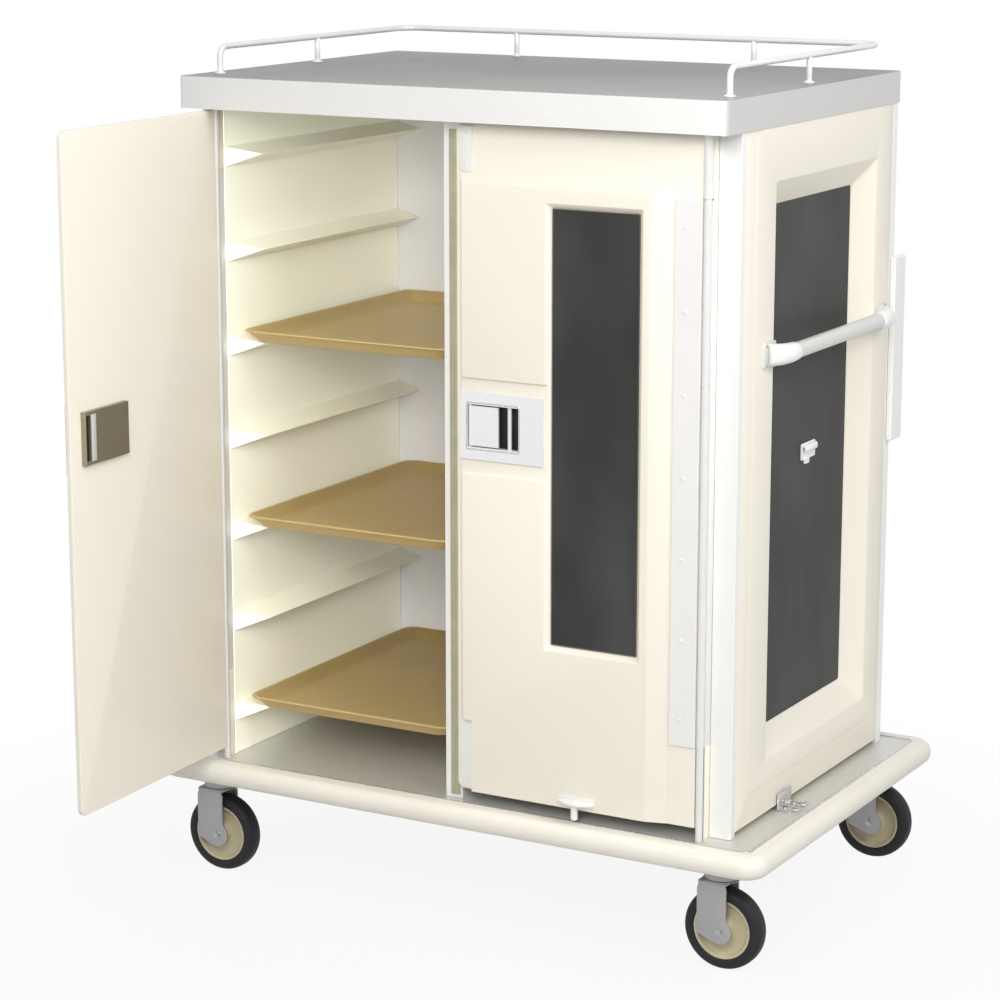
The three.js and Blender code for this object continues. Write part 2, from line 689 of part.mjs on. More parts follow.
// ---- doors ----
// Each door is drawn from its hinge axis: u runs along the door towards its free edge, y runs from its
// outer face (negative) to its inner face, and side is +1 where u points along +X.
function makeDoor(cart, sideName, side, openAngle) {
  const door = new THREE.Group();
  door.position.set(-side * hingeX, hingeY, 0);
  door.rotation.z = THREE.MathUtils.degToRad(openAngle);
  cart.add(door);
  const slab = (u0, u1, y0, y1, z0, z1) => box(side * u0, side * u1, y0, y1, z0, z1);
  const rodRadius = rodDiameter / 2;
  const sheetFace = doorSheet / 2;
  const skinInner = -sheetFace - seatGap;
  const skinOuter = skinInner - skinDepth;
  const latchZ = doorBottom + latchHeight;

  piece(door, `hinge_rod_${sideName}`, upright(0, 0, onDeck, underCap, rodRadius, 20), brightSteel());

  const panelShape = new THREE.Shape();
  const sheetStart = rodRadius + seatGap;
  const cornerU = doorWidth - doorCornerRadius;
  panelShape.moveTo(sheetStart, doorBottom);
  panelShape.lineTo(cornerU, doorBottom);
  panelShape.absarc(cornerU, doorBottom + doorCornerRadius, doorCornerRadius, -Math.PI / 2, 0);
  panelShape.absarc(cornerU, doorTop - doorCornerRadius, doorCornerRadius, 0, Math.PI / 2);
  panelShape.lineTo(sheetStart, doorTop);
  const flat = plate(panelShape, 0, doorSheet, 5);
  flat.rotateX(Math.PI / 2).translate(0, sheetFace, 0);
  const sheet = side > 0 ? flat : mirrored(flat);
  const tabTop = doorBottom - seatGap;
  const tabEnd = tabOffset + tabWidth;
  const tab = slab(tabOffset, tabEnd, -sheetFace - tabReach, sheetFace, tabTop - tabThickness, tabTop);
  const rootY = sheetFace - weld;
  const tabRoot = slab(tabOffset + weld, tabEnd - weld, -rootY, rootY, tabTop - weld, doorBottom + weld);
  const pinU = tabOffset + tabWidth / 2;
  const pinY = -sheetFace - tabReach / 2;
  const pin = upright(side * pinU, pinY, tabTop - tabPinLength, tabTop, tabPinRadius, 12);
  const pocket = slab(
    cupOffset - seatGap, cupOffset + cupWidth + seatGap,
    -sheetFace - past, cupBackPlane(skinOuter) + seatGap,
    latchZ - cupHeight / 2 - seatGap, latchZ + cupHeight / 2 + seatGap,
  );
  piece(door, `door_panel_${sideName}`, cut(join(sheet, tab, tabRoot, pin), pocket), cream());

  piece(door, `door_skin_${sideName}`, makeSkin(side, skinInner, skinOuter, latchZ), cream());

  const insetMargin = windowSideBevel + seatGap;
  const inset = slab(
    windowHingeMargin + insetMargin, windowHingeMargin + windowWidth - insetMargin,
    skinInner - doorInsetThickness, skinInner,
    doorBottom + windowSill + windowEndBevel + seatGap,
    doorBottom + windowSill + windowHeight - windowEndBevel - seatGap,
  );
  piece(door, `door_inset_${sideName}`, inset, darkGlass());

  const leafZ = doorBottom + leafSill;
  const leafEnd = sheetStart + leafWidth;
  const leaf = slab(sheetStart, leafEnd, skinInner - leafThickness, skinInner, leafZ, leafZ + leafHeight);
  piece(door, `hinge_leaf_${sideName}`, leaf, whiteSteel());

  addLatch(door, sideName, side, skinInner, skinOuter, latchZ);
  return door;
}

function mirrored(geometry) {
  const copy = geometry.clone().scale(-1, 1, 1);
  const flipped = new Float32Array(copy.attributes.position.array);
  for (let start = 0; start < flipped.length; start += 9) {
    for (let axis = 0; axis < 3; axis += 1) {
      [flipped[start + axis], flipped[start + 3 + axis]] = [flipped[start + 3 + axis], flipped[start + axis]];
    }
  }
  const result = new THREE.BufferGeometry();
  result.setAttribute('position', new THREE.BufferAttribute(flipped, 3));
  return mergeVertices(result, 1e-4);
}

function makeSkin(side, skinInner, skinOuter, latchZ) {
  const u0 = skinHingeMargin;
  const u1 = doorWidth - skinFreeMargin;
  const z0 = doorBottom;
  const z1 = doorTop - skinTopMargin;
  const ring = (y, left, right, low, high) => [
    [side * left, y, low], [side * right, y, low], [side * right, y, high], [side * left, y, high],
  ];
  const body = taper(
    ring(skinInner, u0, u1, z0, z1),
    ring(skinOuter, u0 + skinDraft, u1 - skinDraft, z0, z1 - skinDraft),
  );
  const w0 = windowHingeMargin;
  const w1 = w0 + windowWidth;
  const v0 = doorBottom + windowSill;
  const v1 = v0 + windowHeight;
  const outSide = (past * windowSideBevel) / skinDepth;
  const outEnd = (past * windowEndBevel) / skinDepth;
  const inSide = windowSideBevel + outSide;
  const inEnd = windowEndBevel + outEnd;
  const window = taper(
    ring(skinInner + past, w0 + inSide, w1 - inSide, v0 + inEnd, v1 - inEnd),
    ring(skinOuter - past, w0 - outSide, w1 + outSide, v0 - outEnd, v1 + outEnd),
  );
  const slab = (a, b, c, d, e, f) => box(side * a, side * b, c, d, e, f);
  const notch = slab(
    u1 - cornerNotchWidth, u1 + past, skinInner + past, skinOuter - past, z0 - past, z0 + cornerNotchHeight,
  );
  const recess = slab(
    recessOffset, u1 + past, skinOuter - past, skinOuter + recessDepth,
    latchZ - recessHeight / 2, latchZ + recessHeight / 2,
  );
  const cupHole = slab(
    cupOffset - seatGap, cupOffset + cupWidth + seatGap, skinOuter, skinInner + past,
    latchZ - cupHeight / 2 - seatGap, latchZ + cupHeight / 2 + seatGap,
  );
  return cut(body, window, notch, recess, cupHole);
}

// the finger cup's back, which lies in a pocket of the door's sheet
function cupBackPlane(skinOuter) {
  return skinOuter + recessDepth - seatGap - bezelThickness + cupDepth + cupWall;
}

function addLatch(door, sideName, side, skinInner, skinOuter, latchZ) {
  const slab = (a, b, c, d, e, f) => box(side * a, side * b, c, d, e, f);
  const bezelBack = skinOuter + recessDepth - seatGap;
  const bezelFront = bezelBack - bezelThickness;
  const cupBack = cupBackPlane(skinOuter);
  const bezelPlate = slab(
    bezelOffset, bezelOffset + bezelWidth, bezelFront, bezelBack,
    latchZ - bezelHeight / 2, latchZ + bezelHeight / 2,
  );
  const halfCup = cupHeight / 2;
  const cupShell = slab(
    cupOffset, cupOffset + cupWidth, bezelFront + weld, cupBack, latchZ - halfCup, latchZ + halfCup,
  );
  const cavity = slab(
    cupOffset + cupWall, cupOffset + cupWidth - cupWall, bezelFront - past, cupBack - cupWall,
    latchZ - halfCup + cupWall, latchZ + halfCup - cupWall,
  );
  piece(door, `latch_bezel_${sideName}`, cut(join(bezelPlate, cupShell), cavity), brightSteel());

  const paddle = new THREE.Group();
  const pivotU = cupOffset + cupWidth - cupWall - paddleGap - paddlePinRadius;
  const pivotY = bezelFront + paddleThickness / 2 + paddleSetback;
  paddle.position.set(side * pivotU, pivotY, latchZ);
  door.add(paddle);
  const halfPaddle = halfCup - cupWall - paddleGap;
  const halfPin = halfCup - cupWall - seatGap;
  const blade = box(
    side * paddlePinRadius, side * (paddlePinRadius - paddleWidth),
    -paddleThickness / 2, paddleThickness / 2, -halfPaddle, halfPaddle,
  );
  const pin = upright(0, 0, -halfPin, halfPin, paddlePinRadius, 12);
  piece(paddle, `latch_paddle_${sideName}`, join(blade, pin), brightSteel());

  const caseFront = doorSheet / 2 + seatGap;
  const caseBack = caseFront + caseDepth;
  const slotU1 = caseOffset + caseWidth - caseSlotWall;
  const slotU0 = slotU1 - caseSlotWidth;
  const slotFloor = caseBack - camSetback - camDepth - 2 * camGap;
  const halfCase = caseHeight / 2;
  const caseEnd = caseOffset + caseWidth;
  const caseBody = slab(caseOffset, caseEnd, caseFront, caseBack, latchZ - halfCase, latchZ + halfCase);
  const slot = slab(
    slotU0, slotU1, slotFloor, caseBack + past,
    latchZ - halfCase + caseSlotEnd, latchZ + halfCase - caseSlotEnd,
  );
  piece(door, `latch_case_${sideName}`, cut(caseBody, slot), latchSteel());

  const cam = new THREE.Group();
  cam.position.set(side * (slotU0 + slotU1) / 2, slotFloor + camGap + camDepth / 2, latchZ);
  door.add(cam);
  const halfCam = halfCase - caseSlotEnd - seatGap;
  const bar = box(-camWidth / 2, camWidth / 2, -camDepth / 2, camDepth / 2, -halfCam, halfCam);
  piece(cam, `latch_cam_${sideName}`, bar, brightSteel());
}

// ---- casters ----
function lathe(profile, segments = 24) {
  const points = profile.map(([radius, along]) => new THREE.Vector2(radius, along));
  return new THREE.LatheGeometry(points, segments);
}

function addCaster(cart, name, x, y) {
  const swivel = new THREE.Group();
  swivel.position.set(x, y, 0);
  cart.add(swivel);
  const legInner = hubWidth / 2 + wheelSideGap;
  const legOuter = legInner + forkLegThickness;
  const axleX = casterTrail;
  const legX0 = axleX - forkLegLean - forkLegWidth / 2;
  const legX1 = axleX - forkLegLean + forkLegWidth / 2;
  const crownBottom = wheelDiameter + wheelTopGap;
  const crownTop = crownBottom + forkCrownThickness;
  const parts = [box(legX0, legX1, -legOuter, legOuter, crownBottom, crownTop)];
  parts.push(upright(0, 0, crownTop - weld, swivelTop() - seatGap, swivelRadius, 20));
  const outline = new THREE.Shape();
  outline.moveTo(legX0, crownTop);
  outline.lineTo(legX0, wheelRadius - forkToeDrop);
  outline.absarc(axleX, wheelRadius, forkBossRadius, THREE.MathUtils.degToRad(forkBossStart), Math.PI * 2);
  outline.lineTo(legX1, crownTop);
  [-1, 1].forEach((end) => {
    const leg = plate(outline, 0, forkLegThickness, 6).rotateX(Math.PI / 2);
    parts.push(leg.translate(0, end > 0 ? legOuter : -legInner, 0));
    const from = new THREE.Vector3(axleX, end * (legOuter - weld), wheelRadius);
    const to = new THREE.Vector3(axleX, end * (legOuter + axleHeadHeight), wheelRadius);
    parts.push(rodBetween(from, to, axleHeadRadius, 12));
  });
  const axleFrom = new THREE.Vector3(axleX, -legInner - weld, wheelRadius);
  const axleTo = new THREE.Vector3(axleX, legInner + weld, wheelRadius);
  parts.push(rodBetween(axleFrom, axleTo, axleRadius, 16));
  piece(swivel, `caster_fork_${name}`, join(...parts), casterSteel());

  const wheel = new THREE.Group();
  wheel.position.set(axleX, 0, wheelRadius);
  swivel.add(wheel);
  const coreRadius = wheelRadius - tyreDepth;
  const bore = axleRadius + seatGap;
  const halfCore = coreWidth / 2;
  const halfHub = hubWidth / 2;
  const dish = halfCore - coreDish;
  const rimFoot = coreRadius - coreRimWall;
  const rimEdge = rimFoot + coreRimChamfer;
  const hubFoot = hubRadius + hubDraft;
  const coreProfile = [
    [bore, -halfHub], [hubRadius, -halfHub], [hubFoot, -dish], [rimFoot, -dish], [rimEdge, -halfCore],
    [coreRadius, -halfCore], [coreRadius, halfCore], [rimEdge, halfCore], [rimFoot, dish],
    [hubFoot, dish], [hubRadius, halfHub], [bore, halfHub], [bore, -halfHub],
  ];
  piece(wheel, `wheel_core_${name}`, lathe(coreProfile), casterCore());
  const inside = coreRadius + seatGap;
  const halfTyre = wheelWidth / 2;
  const edge = wheelRadius - tyreShoulder;
  const crown = wheelRadius - tyreCrown;
  const tread = halfTyre - tyreShoulder;
  const flat = tread - tyreShoulder;
  const tyreProfile = [
    [inside, -halfCore], [edge, -halfTyre], [crown, -tread], [wheelRadius, -flat],
    [wheelRadius, flat], [crown, tread], [edge, halfTyre], [inside, halfCore], [inside, -halfCore],
  ];
  piece(wheel, `tyre_${name}`, lathe(tyreProfile), tyreRubber());
}

// ---- meal trays ----
function addTray(cart, level) {
  const tray = new THREE.Group();
  const leftFace = -linerFace;
  const rightFace = -dividerThickness / 2;
  const middleX = (leftFace + rightFace) / 2;
  const halfBottom = trayWidth / 2 - trayFlare;
  const ledgeOverlap = middleX - halfBottom - leftFace;
  const rootTop = topLedgeRoot - level * ledgePitch;
  const rest = rootTop - ledgeDrop * (ledgeOverlap / ledgeReach) + seatGap;
  tray.position.set(middleX, backFace - trayRearGap - trayLength / 2, rest);
  cart.add(tray);
  const ring = (z, inset) => roundedStations(
    trayWidth - 2 * inset, trayLength - 2 * inset, trayCornerRadius, z,
  );
  const flareAt = (z) => trayFlare * (1 - z / trayHeight);
  const brim = trayHeight + past;
  const outer = loftStations([ring(0, trayFlare), ring(trayHeight, 0)]);
  const inside = (z) => ring(z, flareAt(z) + traySheet);
  const hollow = loftStations([inside(traySheet), inside(brim)]);
  piece(tray, `tray_${level + 1}`, cut(outer, hollow), trayResin());
}

function roundedStations(width, depth, radius, z) {
  const steps = 4;
  const stations = [];
  [[1, -1, -90], [1, 1, 0], [-1, 1, 90], [-1, -1, 180]].forEach(([signX, signY, startAngle]) => {
    for (let step = 0; step <= steps; step += 1) {
      const angle = THREE.MathUtils.degToRad(startAngle + (90 * step) / steps);
      stations.push([
        signX * (width / 2 - radius) + radius * Math.cos(angle),
        signY * (depth / 2 - radius) + radius * Math.sin(angle),
        z,
      ]);
    }
  });
  return stations;
}

// joins outlines of equal point counts, lowest first, into one closed body
function loftStations(rings) {
  const count = rings[0].length;
  const faces = [];
  for (let level = 0; level < rings.length - 1; level += 1) {
    for (let index = 0; index < count; index += 1) {
      const next = (index + 1) % count;
      const low = level * count;
      const high = low + count;
      faces.push(low + index, low + next, high + next, low + index, high + next, high + index);
    }
  }
  const last = (rings.length - 1) * count;
  for (let index = 1; index < count - 1; index += 1) {
    faces.push(0, index + 1, index, last, last + index, last + index + 1);
  }
  const geometry = new THREE.BufferGeometry();
  geometry.setAttribute('position', new THREE.BufferAttribute(new Float32Array(rings.flat(2)), 3));
  geometry.setIndex(faces);
  return geometry;
}

const cart = new THREE.Group();
addDeck(cart);
addBaseFrame(cart);
addPosts(cart);
addSidePanels(cart);
addInterior(cart);
addRearWall(cart);
addTop(cart);
addSideFittings(cart);
makeDoor(cart, 'left', 1, -doorOpenAngle);
makeDoor(cart, 'right', -1, 0);
casterPlaces().forEach(([name, x, y]) => addCaster(cart, name, x, y));
trayLedges.forEach((level) => addTray(cart, level));

// the origin goes to the middle of the bounding box, on the floor
const limits = new THREE.Box3().setFromObject(cart, true);
const middle = limits.getCenter(new THREE.Vector3());
cart.position.set(-middle.x, -middle.y, -limits.min.z);

export default cart;
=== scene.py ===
"""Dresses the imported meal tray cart: finishes, smooth pieces, fittings, floor, light and camera."""

import json
import logging
import math
from dataclasses import dataclass
from enum import Enum
from typing import Callable, Iterable, Optional, Sequence, Union

import bmesh
import bpy
from mathutils import Matrix, Vector


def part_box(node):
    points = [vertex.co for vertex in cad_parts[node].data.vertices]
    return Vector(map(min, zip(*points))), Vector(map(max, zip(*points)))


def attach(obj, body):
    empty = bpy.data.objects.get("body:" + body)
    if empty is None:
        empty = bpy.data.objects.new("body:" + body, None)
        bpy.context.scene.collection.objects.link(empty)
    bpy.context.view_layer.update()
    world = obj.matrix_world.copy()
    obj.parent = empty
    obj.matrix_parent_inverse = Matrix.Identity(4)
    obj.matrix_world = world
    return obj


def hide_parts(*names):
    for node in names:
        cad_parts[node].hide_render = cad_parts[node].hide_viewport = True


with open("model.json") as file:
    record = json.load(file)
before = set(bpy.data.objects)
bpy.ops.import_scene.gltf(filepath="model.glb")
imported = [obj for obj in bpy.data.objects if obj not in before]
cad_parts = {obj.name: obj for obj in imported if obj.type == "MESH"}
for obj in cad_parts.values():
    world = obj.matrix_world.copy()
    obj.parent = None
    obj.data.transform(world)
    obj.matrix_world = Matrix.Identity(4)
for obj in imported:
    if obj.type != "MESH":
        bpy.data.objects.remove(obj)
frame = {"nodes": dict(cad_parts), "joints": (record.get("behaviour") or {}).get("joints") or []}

LOG = logging.getLogger("meal_tray_cart")
MM = 0.001
SEAT = 0.3 * MM              # gap between pieces that lie on each other
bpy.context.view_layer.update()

Number = Union[int, float]
Point = Sequence[float]
Colour = tuple[float, float, float]


def srgb(red: int, green: int, blue: int) -> Colour:
    """Turns a screen colour of 0 to 255 into the linear colour that a shader takes.

    Args:
        red: Red level.
        green: Green level.
        blue: Blue level.

    Returns:
        The linear colour.
    """
    def linear(level: int) -> float:
        """Returns one linear channel."""
        value = level / 255
        return value / 12.92 if value <= 0.04045 else ((value + 0.055) / 1.055) ** 2.4

    return linear(red), linear(green), linear(blue)


# ---- shader maths ----
class Value:
    """A shader socket that takes part in Python expressions."""

    def __init__(self, tree: "ShaderTree", socket: bpy.types.NodeSocket) -> None:
        """Keeps the socket and the tree that it belongs to."""
        self.tree = tree
        self.socket = socket

    def _math(self, operation: str, first: "Term", second: "Term") -> "Value":
        """Adds one Math node and returns its result."""
        return self.tree.node("ShaderNodeMath", {"operation": operation}, {0: first, 1: second})["Value"]

    def __add__(self, other: "Term") -> "Value":
        """Returns self + other."""
        return self._math("ADD", self, other)

    def __radd__(self, other: "Term") -> "Value":
        """Returns other + self."""
        return self._math("ADD", other, self)

    def __sub__(self, other: "Term") -> "Value":
        """Returns self - other."""
        return self._math("SUBTRACT", self, other)

    def __rsub__(self, other: "Term") -> "Value":
        """Returns other - self."""
        return self._math("SUBTRACT", other, self)

    def __mul__(self, other: "Term") -> "Value":
        """Returns self * other."""
        return self._math("MULTIPLY", self, other)

    def __rmul__(self, other: "Term") -> "Value":
        """Returns other * self."""
        return self._math("MULTIPLY", other, self)

    def __pow__(self, other: "Term") -> "Value":
        """Returns self ** other."""
        return self._math("POWER", self, other)

    def __gt__(self, other: "Term") -> "Value":
        """Returns 1 where self is greater than other, else 0."""
        return self._math("GREATER_THAN", self, other)

    def clamped(self) -> "Value":
        """Returns the value held between 0 and 1."""
        return self._math("MINIMUM", self._math("MAXIMUM", self, 0.0), 1.0)


Term = Union[Value, Number]


class ShaderTree:
    """The node tree of one material or world."""

    def __init__(self, owner: Union[bpy.types.Material, bpy.types.World]) -> None:
        """Empties the owner's node tree.

        Args:
            owner: The material or world whose nodes are made.
        """
        owner.use_nodes = True
        self.tree = owner.node_tree
        self.tree.nodes.clear()

    def node(self, kind: str, settings: Optional[dict] = None, inputs: Optional[dict] = None) -> "Outputs":
        """Adds any node.

        Args:
            kind: The node's type.
            settings: Properties that are set first; "stops" fills a colour ramp.
            inputs: Values or links by socket name or index.

        Returns:
            The node's outputs by name.
        """
        node = self.tree.nodes.new(kind)
        for name, setting in (settings or {}).items():
            if name == "stops":
                self._fill_ramp(node.color_ramp, setting)
            else:
                setattr(node, name, setting)
        for name, value in (inputs or {}).items():
            target = node.inputs[name]
            if isinstance(value, Value):
                self.tree.links.new(value.socket, target)
            elif isinstance(value, tuple) and target.type == "RGBA":
                target.default_value = (*value, 1.0)
            else:
                target.default_value = value
        return Outputs(self, node)

    @staticmethod
    def _fill_ramp(ramp: bpy.types.ColorRamp, stops: Sequence[tuple[float, float]]) -> None:
        """Sets a grey ramp's stops.

        Args:
            ramp: The ramp to fill.
            stops: Pairs of position and grey level.
        """
        while len(ramp.elements) < len(stops):
            ramp.elements.new(0.5)
        for element, (position, level) in zip(ramp.elements, stops):
            element.position = position
            element.color = (level, level, level, 1.0)

    def place(self) -> Value:
        """Returns the object coordinates, which are the row frame's metres."""
        return self.node("ShaderNodeTexCoord")["Object"]

    def stretched(self, scale: Point) -> Value:
        """Returns the object coordinates times a scale for each axis."""
        settings = {"operation": "MULTIPLY"}
        return self.node("ShaderNodeVectorMath", settings, {0: self.place(), 1: tuple(scale)})["Vector"]

    def noise(self, scale: Point, detail: float = 3.0, roughness: float = 0.55) -> Value:
        """Returns noise between 0 and 1.

        Args:
            scale: Cells a metre along each axis.
            detail: Octaves of noise.
            roughness: Weight of the finer octaves.

        Returns:
            The noise.
        """
        inputs = {"Vector": self.stretched(scale), "Scale": 1.0, "Detail": detail, "Roughness": roughness}
        return self.node("ShaderNodeTexNoise", {}, inputs)["Fac"]

    def cells(self, scale: Point) -> Value:
        """Returns the distance to the nearest of scattered points."""
        inputs = {"Vector": self.stretched(scale), "Scale": 1.0}
        return self.node("ShaderNodeTexVoronoi", {}, inputs)["Distance"]

    def ramp(self, value: Value, *stops: tuple[float, float]) -> Value:
        """Returns a value read through a grey ramp."""
        return self.node("ShaderNodeValToRGB", {"stops": stops}, {"Fac": value})["Color"]

    def mix(self, factor: Term, first: Union[Colour, Value], second: Union[Colour, Value]) -> Value:
        """Returns a blend of two colours.

        Args:
            factor: 0 for the first, 1 for the second.
            first: Colour or link.
            second: Colour or link.

        Returns:
            The blended colour.
        """
        inputs = {0: factor, 6: first, 7: second}
        outputs = self.node("ShaderNodeMix", {"data_type": "RGBA"}, inputs)
        return Value(self, outputs.node.outputs[2])

    def bump(self, height: Value, strength: float, distance: float) -> Value:
        """Returns a normal bent by a height.

        Args:
            height: Height between 0 and 1.
            strength: Share of the effect.
            distance: Height of 1, in metres.

        Returns:
            The normal.
        """
        inputs = {"Height": height, "Strength": strength, "Distance": distance}
        return self.node("ShaderNodeBump", {}, inputs)["Normal"]

    def mask(self, value: Value, start: float, end: float) -> Value:
        """Returns 0 up to a start, 1 from an end, and a slope between them."""
        return self.ramp(value, (start, 0.0), (end, 1.0)) * 1.0

    def worn_edges(self, start: float, end: float) -> Value:
        """Returns 1 on outward edges and 0 on flats, from the shape's own curvature."""
        return self.mask(self.node("ShaderNodeNewGeometry")["Pointiness"], start, end)

    def seen(self) -> Value:
        """Returns 1 for what the camera sees, straight, in a gloss or through a pane."""
        path = self.node("ShaderNodeLightPath")
        return (path["Is Camera Ray"] + path["Is Glossy Ray"] + path["Is Transmission Ray"]).clamped()

    def surface(self, inputs: dict) -> None:
        """Ends the tree with a Principled surface with these inputs."""
        shader = self.node("ShaderNodeBsdfPrincipled", {}, inputs)["BSDF"]
        self.node("ShaderNodeOutputMaterial", {}, {"Surface": shader})


class Outputs:
    """A node's outputs by name."""

    def __init__(self, tree: ShaderTree, node: bpy.types.Node) -> None:
        """Keeps the node and its tree."""
        self.tree = tree
        self.node = node

    def __getitem__(self, name: str) -> Value:
        """Returns one output."""
        return Value(self.tree, self.node.outputs[name])


# ---- finishes ----
class Grain(Enum):
    """The way that a brushed metal's lines run."""

    ALONG_X = (3.0, 900.0, 900.0)
    UPRIGHT = (900.0, 900.0, 3.0)


@dataclass(frozen=True)
class Finish:
    """What every finish has: a name, the record's slot and a colour."""

    name: str
    slot: str
    colour: Colour
    roughness: float

    def material(self) -> bpy.types.Material:
        """Returns the material, made once."""
        name = f"finish_{self.name}"
        known = bpy.data.materials.get(name)
        if known:
            return known
        made = bpy.data.materials.new(name)
        tree = ShaderTree(made)
        inputs = {"Base Color": self.colour, "Roughness": self.roughness}
        inputs.update(self.detail(tree))
        tree.surface(inputs)
        made.diffuse_color = (*self.colour, 1.0)
        return made

    def detail(self, tree: ShaderTree) -> dict:
        """Returns the surface's inputs that differ from a plain colour."""
        raise NotImplementedError

    def tint(self, factor: float) -> Colour:
        """Returns the colour made darker or lighter."""
        red, green, blue = self.colour
        return red * factor, green * factor, blue * factor

    def shades(self, tree: ShaderTree, share: Term, dark: float, light: float) -> Value:
        """Returns a blend of two tints of the colour."""
        return tree.mix(share, self.tint(dark), self.tint(light))


@dataclass(frozen=True)
class BrushedSteel(Finish):
    """Sheet steel with fine parallel lines, faint smears and a few scratches."""

    grain: Grain = Grain.ALONG_X
    metallic: float = 0.85

    def detail(self, tree: ShaderTree) -> dict:
        """Returns the brushed surface's inputs."""
        lines = tree.noise(self.grain.value, 2.0)
        smears = tree.noise((6.0, 6.0, 6.0), 3.0)
        scratch = tree.mask(tree.noise((60.0, 700.0, 60.0), 1.0), 0.72, 0.76)
        blend = (lines * 0.5 + smears * 0.5).clamped()
        return {
            "Base Color": self.shades(tree, blend, 0.9, 1.08),
            "Metallic": self.metallic,
            "Roughness": self.roughness + lines * 0.08 + smears * 0.08 + scratch * 0.05 - 0.08,
            "Normal": tree.bump(lines, 0.25, 0.03 * MM),
        }


@dataclass(frozen=True)
class CapSteel(BrushedSteel):
    """The cap's sheet steel with painted shade: a grey top that lightens to the front and right as painted
    light, darker +X flanks, and a pale fascia that darkens to the left.
    """

    top_level: Colour = (0.0, 0.0, 0.0)
    shade_level: Colour = (0.0, 0.0, 0.0)

    def detail(self, tree: ShaderTree) -> dict:
        """Returns the brushed surface's inputs, with the top and the +X flanks painted darker than the fascia
        as painted shade.
        """
        inputs = super().detail(tree)
        parts = tree.node("ShaderNodeSeparateXYZ", {}, {0: tree.place()})
        facing = tree.node("ShaderNodeSeparateXYZ", {}, {0: tree.node("ShaderNodeNewGeometry")["Normal"]})
        # Painted light: the top lightens towards the front and the right, from a darker painted shade at the
        # back.
        painted_light_toward_front = (0.45 - parts["Y"] * 0.9 + parts["X"] * 0.5).clamped()
        top = tree.mix(tree.mask(painted_light_toward_front, 0.25, 1.0), self.top_level, self.shade_level)
        # Painted shade: the fascia darkens towards the left.
        across = (parts["X"] * 0.9 + 0.5).clamped()
        fascia_painted_shade = tree.mix(across, self.tint(0.8), inputs["Base Color"])
        # Painted shade: faces turned towards +X are darker.
        flanks_painted_shade = tree.mix(facing["X"] > 0.6, fascia_painted_shade, self.tint(0.66))
        inputs["Base Color"] = tree.mix(facing["Z"] > 0.6, flanks_painted_shade, top)
        return inputs


@dataclass(frozen=True)
class BrightSteel(Finish):
    """Polished steel rod or fitting with water marks and fine rubbing."""

    metallic: float = 0.9

    def detail(self, tree: ShaderTree) -> dict:
        """Returns the polished surface's inputs."""
        marks = tree.noise((22.0, 22.0, 22.0), 4.0)
        rub = tree.noise((500.0, 500.0, 500.0), 2.0)
        return {
            "Base Color": self.shades(tree, marks, 0.92, 1.05),
            "Metallic": self.metallic,
            "Roughness": self.roughness + marks * 0.1 + rub * 0.05 - 0.06,
            "Normal": tree.bump(rub, 0.15, 0.02 * MM),
        }


@dataclass(frozen=True)
class MouldedShell(Finish):
    """Moulded plastic with a fine pebbled skin, slow colour drift and rubbed edges."""

    pebble: float = 900.0
    depth: float = 0.05 * MM
    coat: float = 0.15

    def detail(self, tree: ShaderTree) -> dict:
        """Returns the moulded surface's inputs."""
        pebbles = tree.cells((self.pebble,) * 3)
        drift = tree.noise((2.2, 2.2, 1.4), 2.0)
        handling = tree.mask(tree.noise((9.0, 9.0, 5.0), 5.0, 0.65), 0.56, 0.74)
        body = self.shades(tree, drift, 0.955, 1.035)
        used = tree.mix(handling * 0.12, body, self.tint(0.86))
        return {
            "Base Color": tree.mix(tree.worn_edges(0.515, 0.56) * 0.35, used, self.tint(1.1)),
            "Roughness": self.roughness + handling * 0.08 + pebbles * 0.06 - 0.03,
            "Normal": tree.bump(pebbles, 0.3, self.depth),
            "Coat Weight": self.coat,
            "Coat Roughness": 0.25,
        }


@dataclass(frozen=True)
class Vinyl(Finish):
    """Soft bumper vinyl with long dark scuffs, slow colour drift and a leathery skin."""

    def detail(self, tree: ShaderTree) -> dict:
        """Returns the vinyl's inputs."""
        skin = tree.cells((420.0, 420.0, 420.0))
        scuffs = tree.mask(tree.noise((5.0, 5.0, 240.0), 5.0, 0.7), 0.58, 0.72)
        drift = tree.noise((4.0, 4.0, 4.0), 3.0)
        body = self.shades(tree, drift, 0.94, 1.03)
        return {
            "Base Color": tree.mix(scuffs * 0.22, body, self.tint(0.72)),
            "Roughness": self.roughness + scuffs * 0.15 - 0.04,
            "Normal": tree.bump(skin * 0.6 + scuffs * 0.4, 0.25, 0.12 * MM),
        }


@dataclass(frozen=True)
class SmokedPane(Finish):
    """Dark satin pane with slow cloudy tones and wiping marks."""

    def detail(self, tree: ShaderTree) -> dict:
        """Returns the pane's inputs."""
        clouds = tree.mask(tree.noise((6.0, 6.0, 3.2), 2.0, 0.45), 0.34, 0.68)
        wiping = tree.noise((40.0, 40.0, 6.0), 4.0)
        return {
            "Base Color": self.shades(tree, clouds, 0.74, 1.34),
            "Roughness": self.roughness + wiping * 0.12 - 0.06,
            "Normal": tree.bump(wiping, 0.06, 0.05 * MM),
            "Specular IOR Level": 0.12,
        }


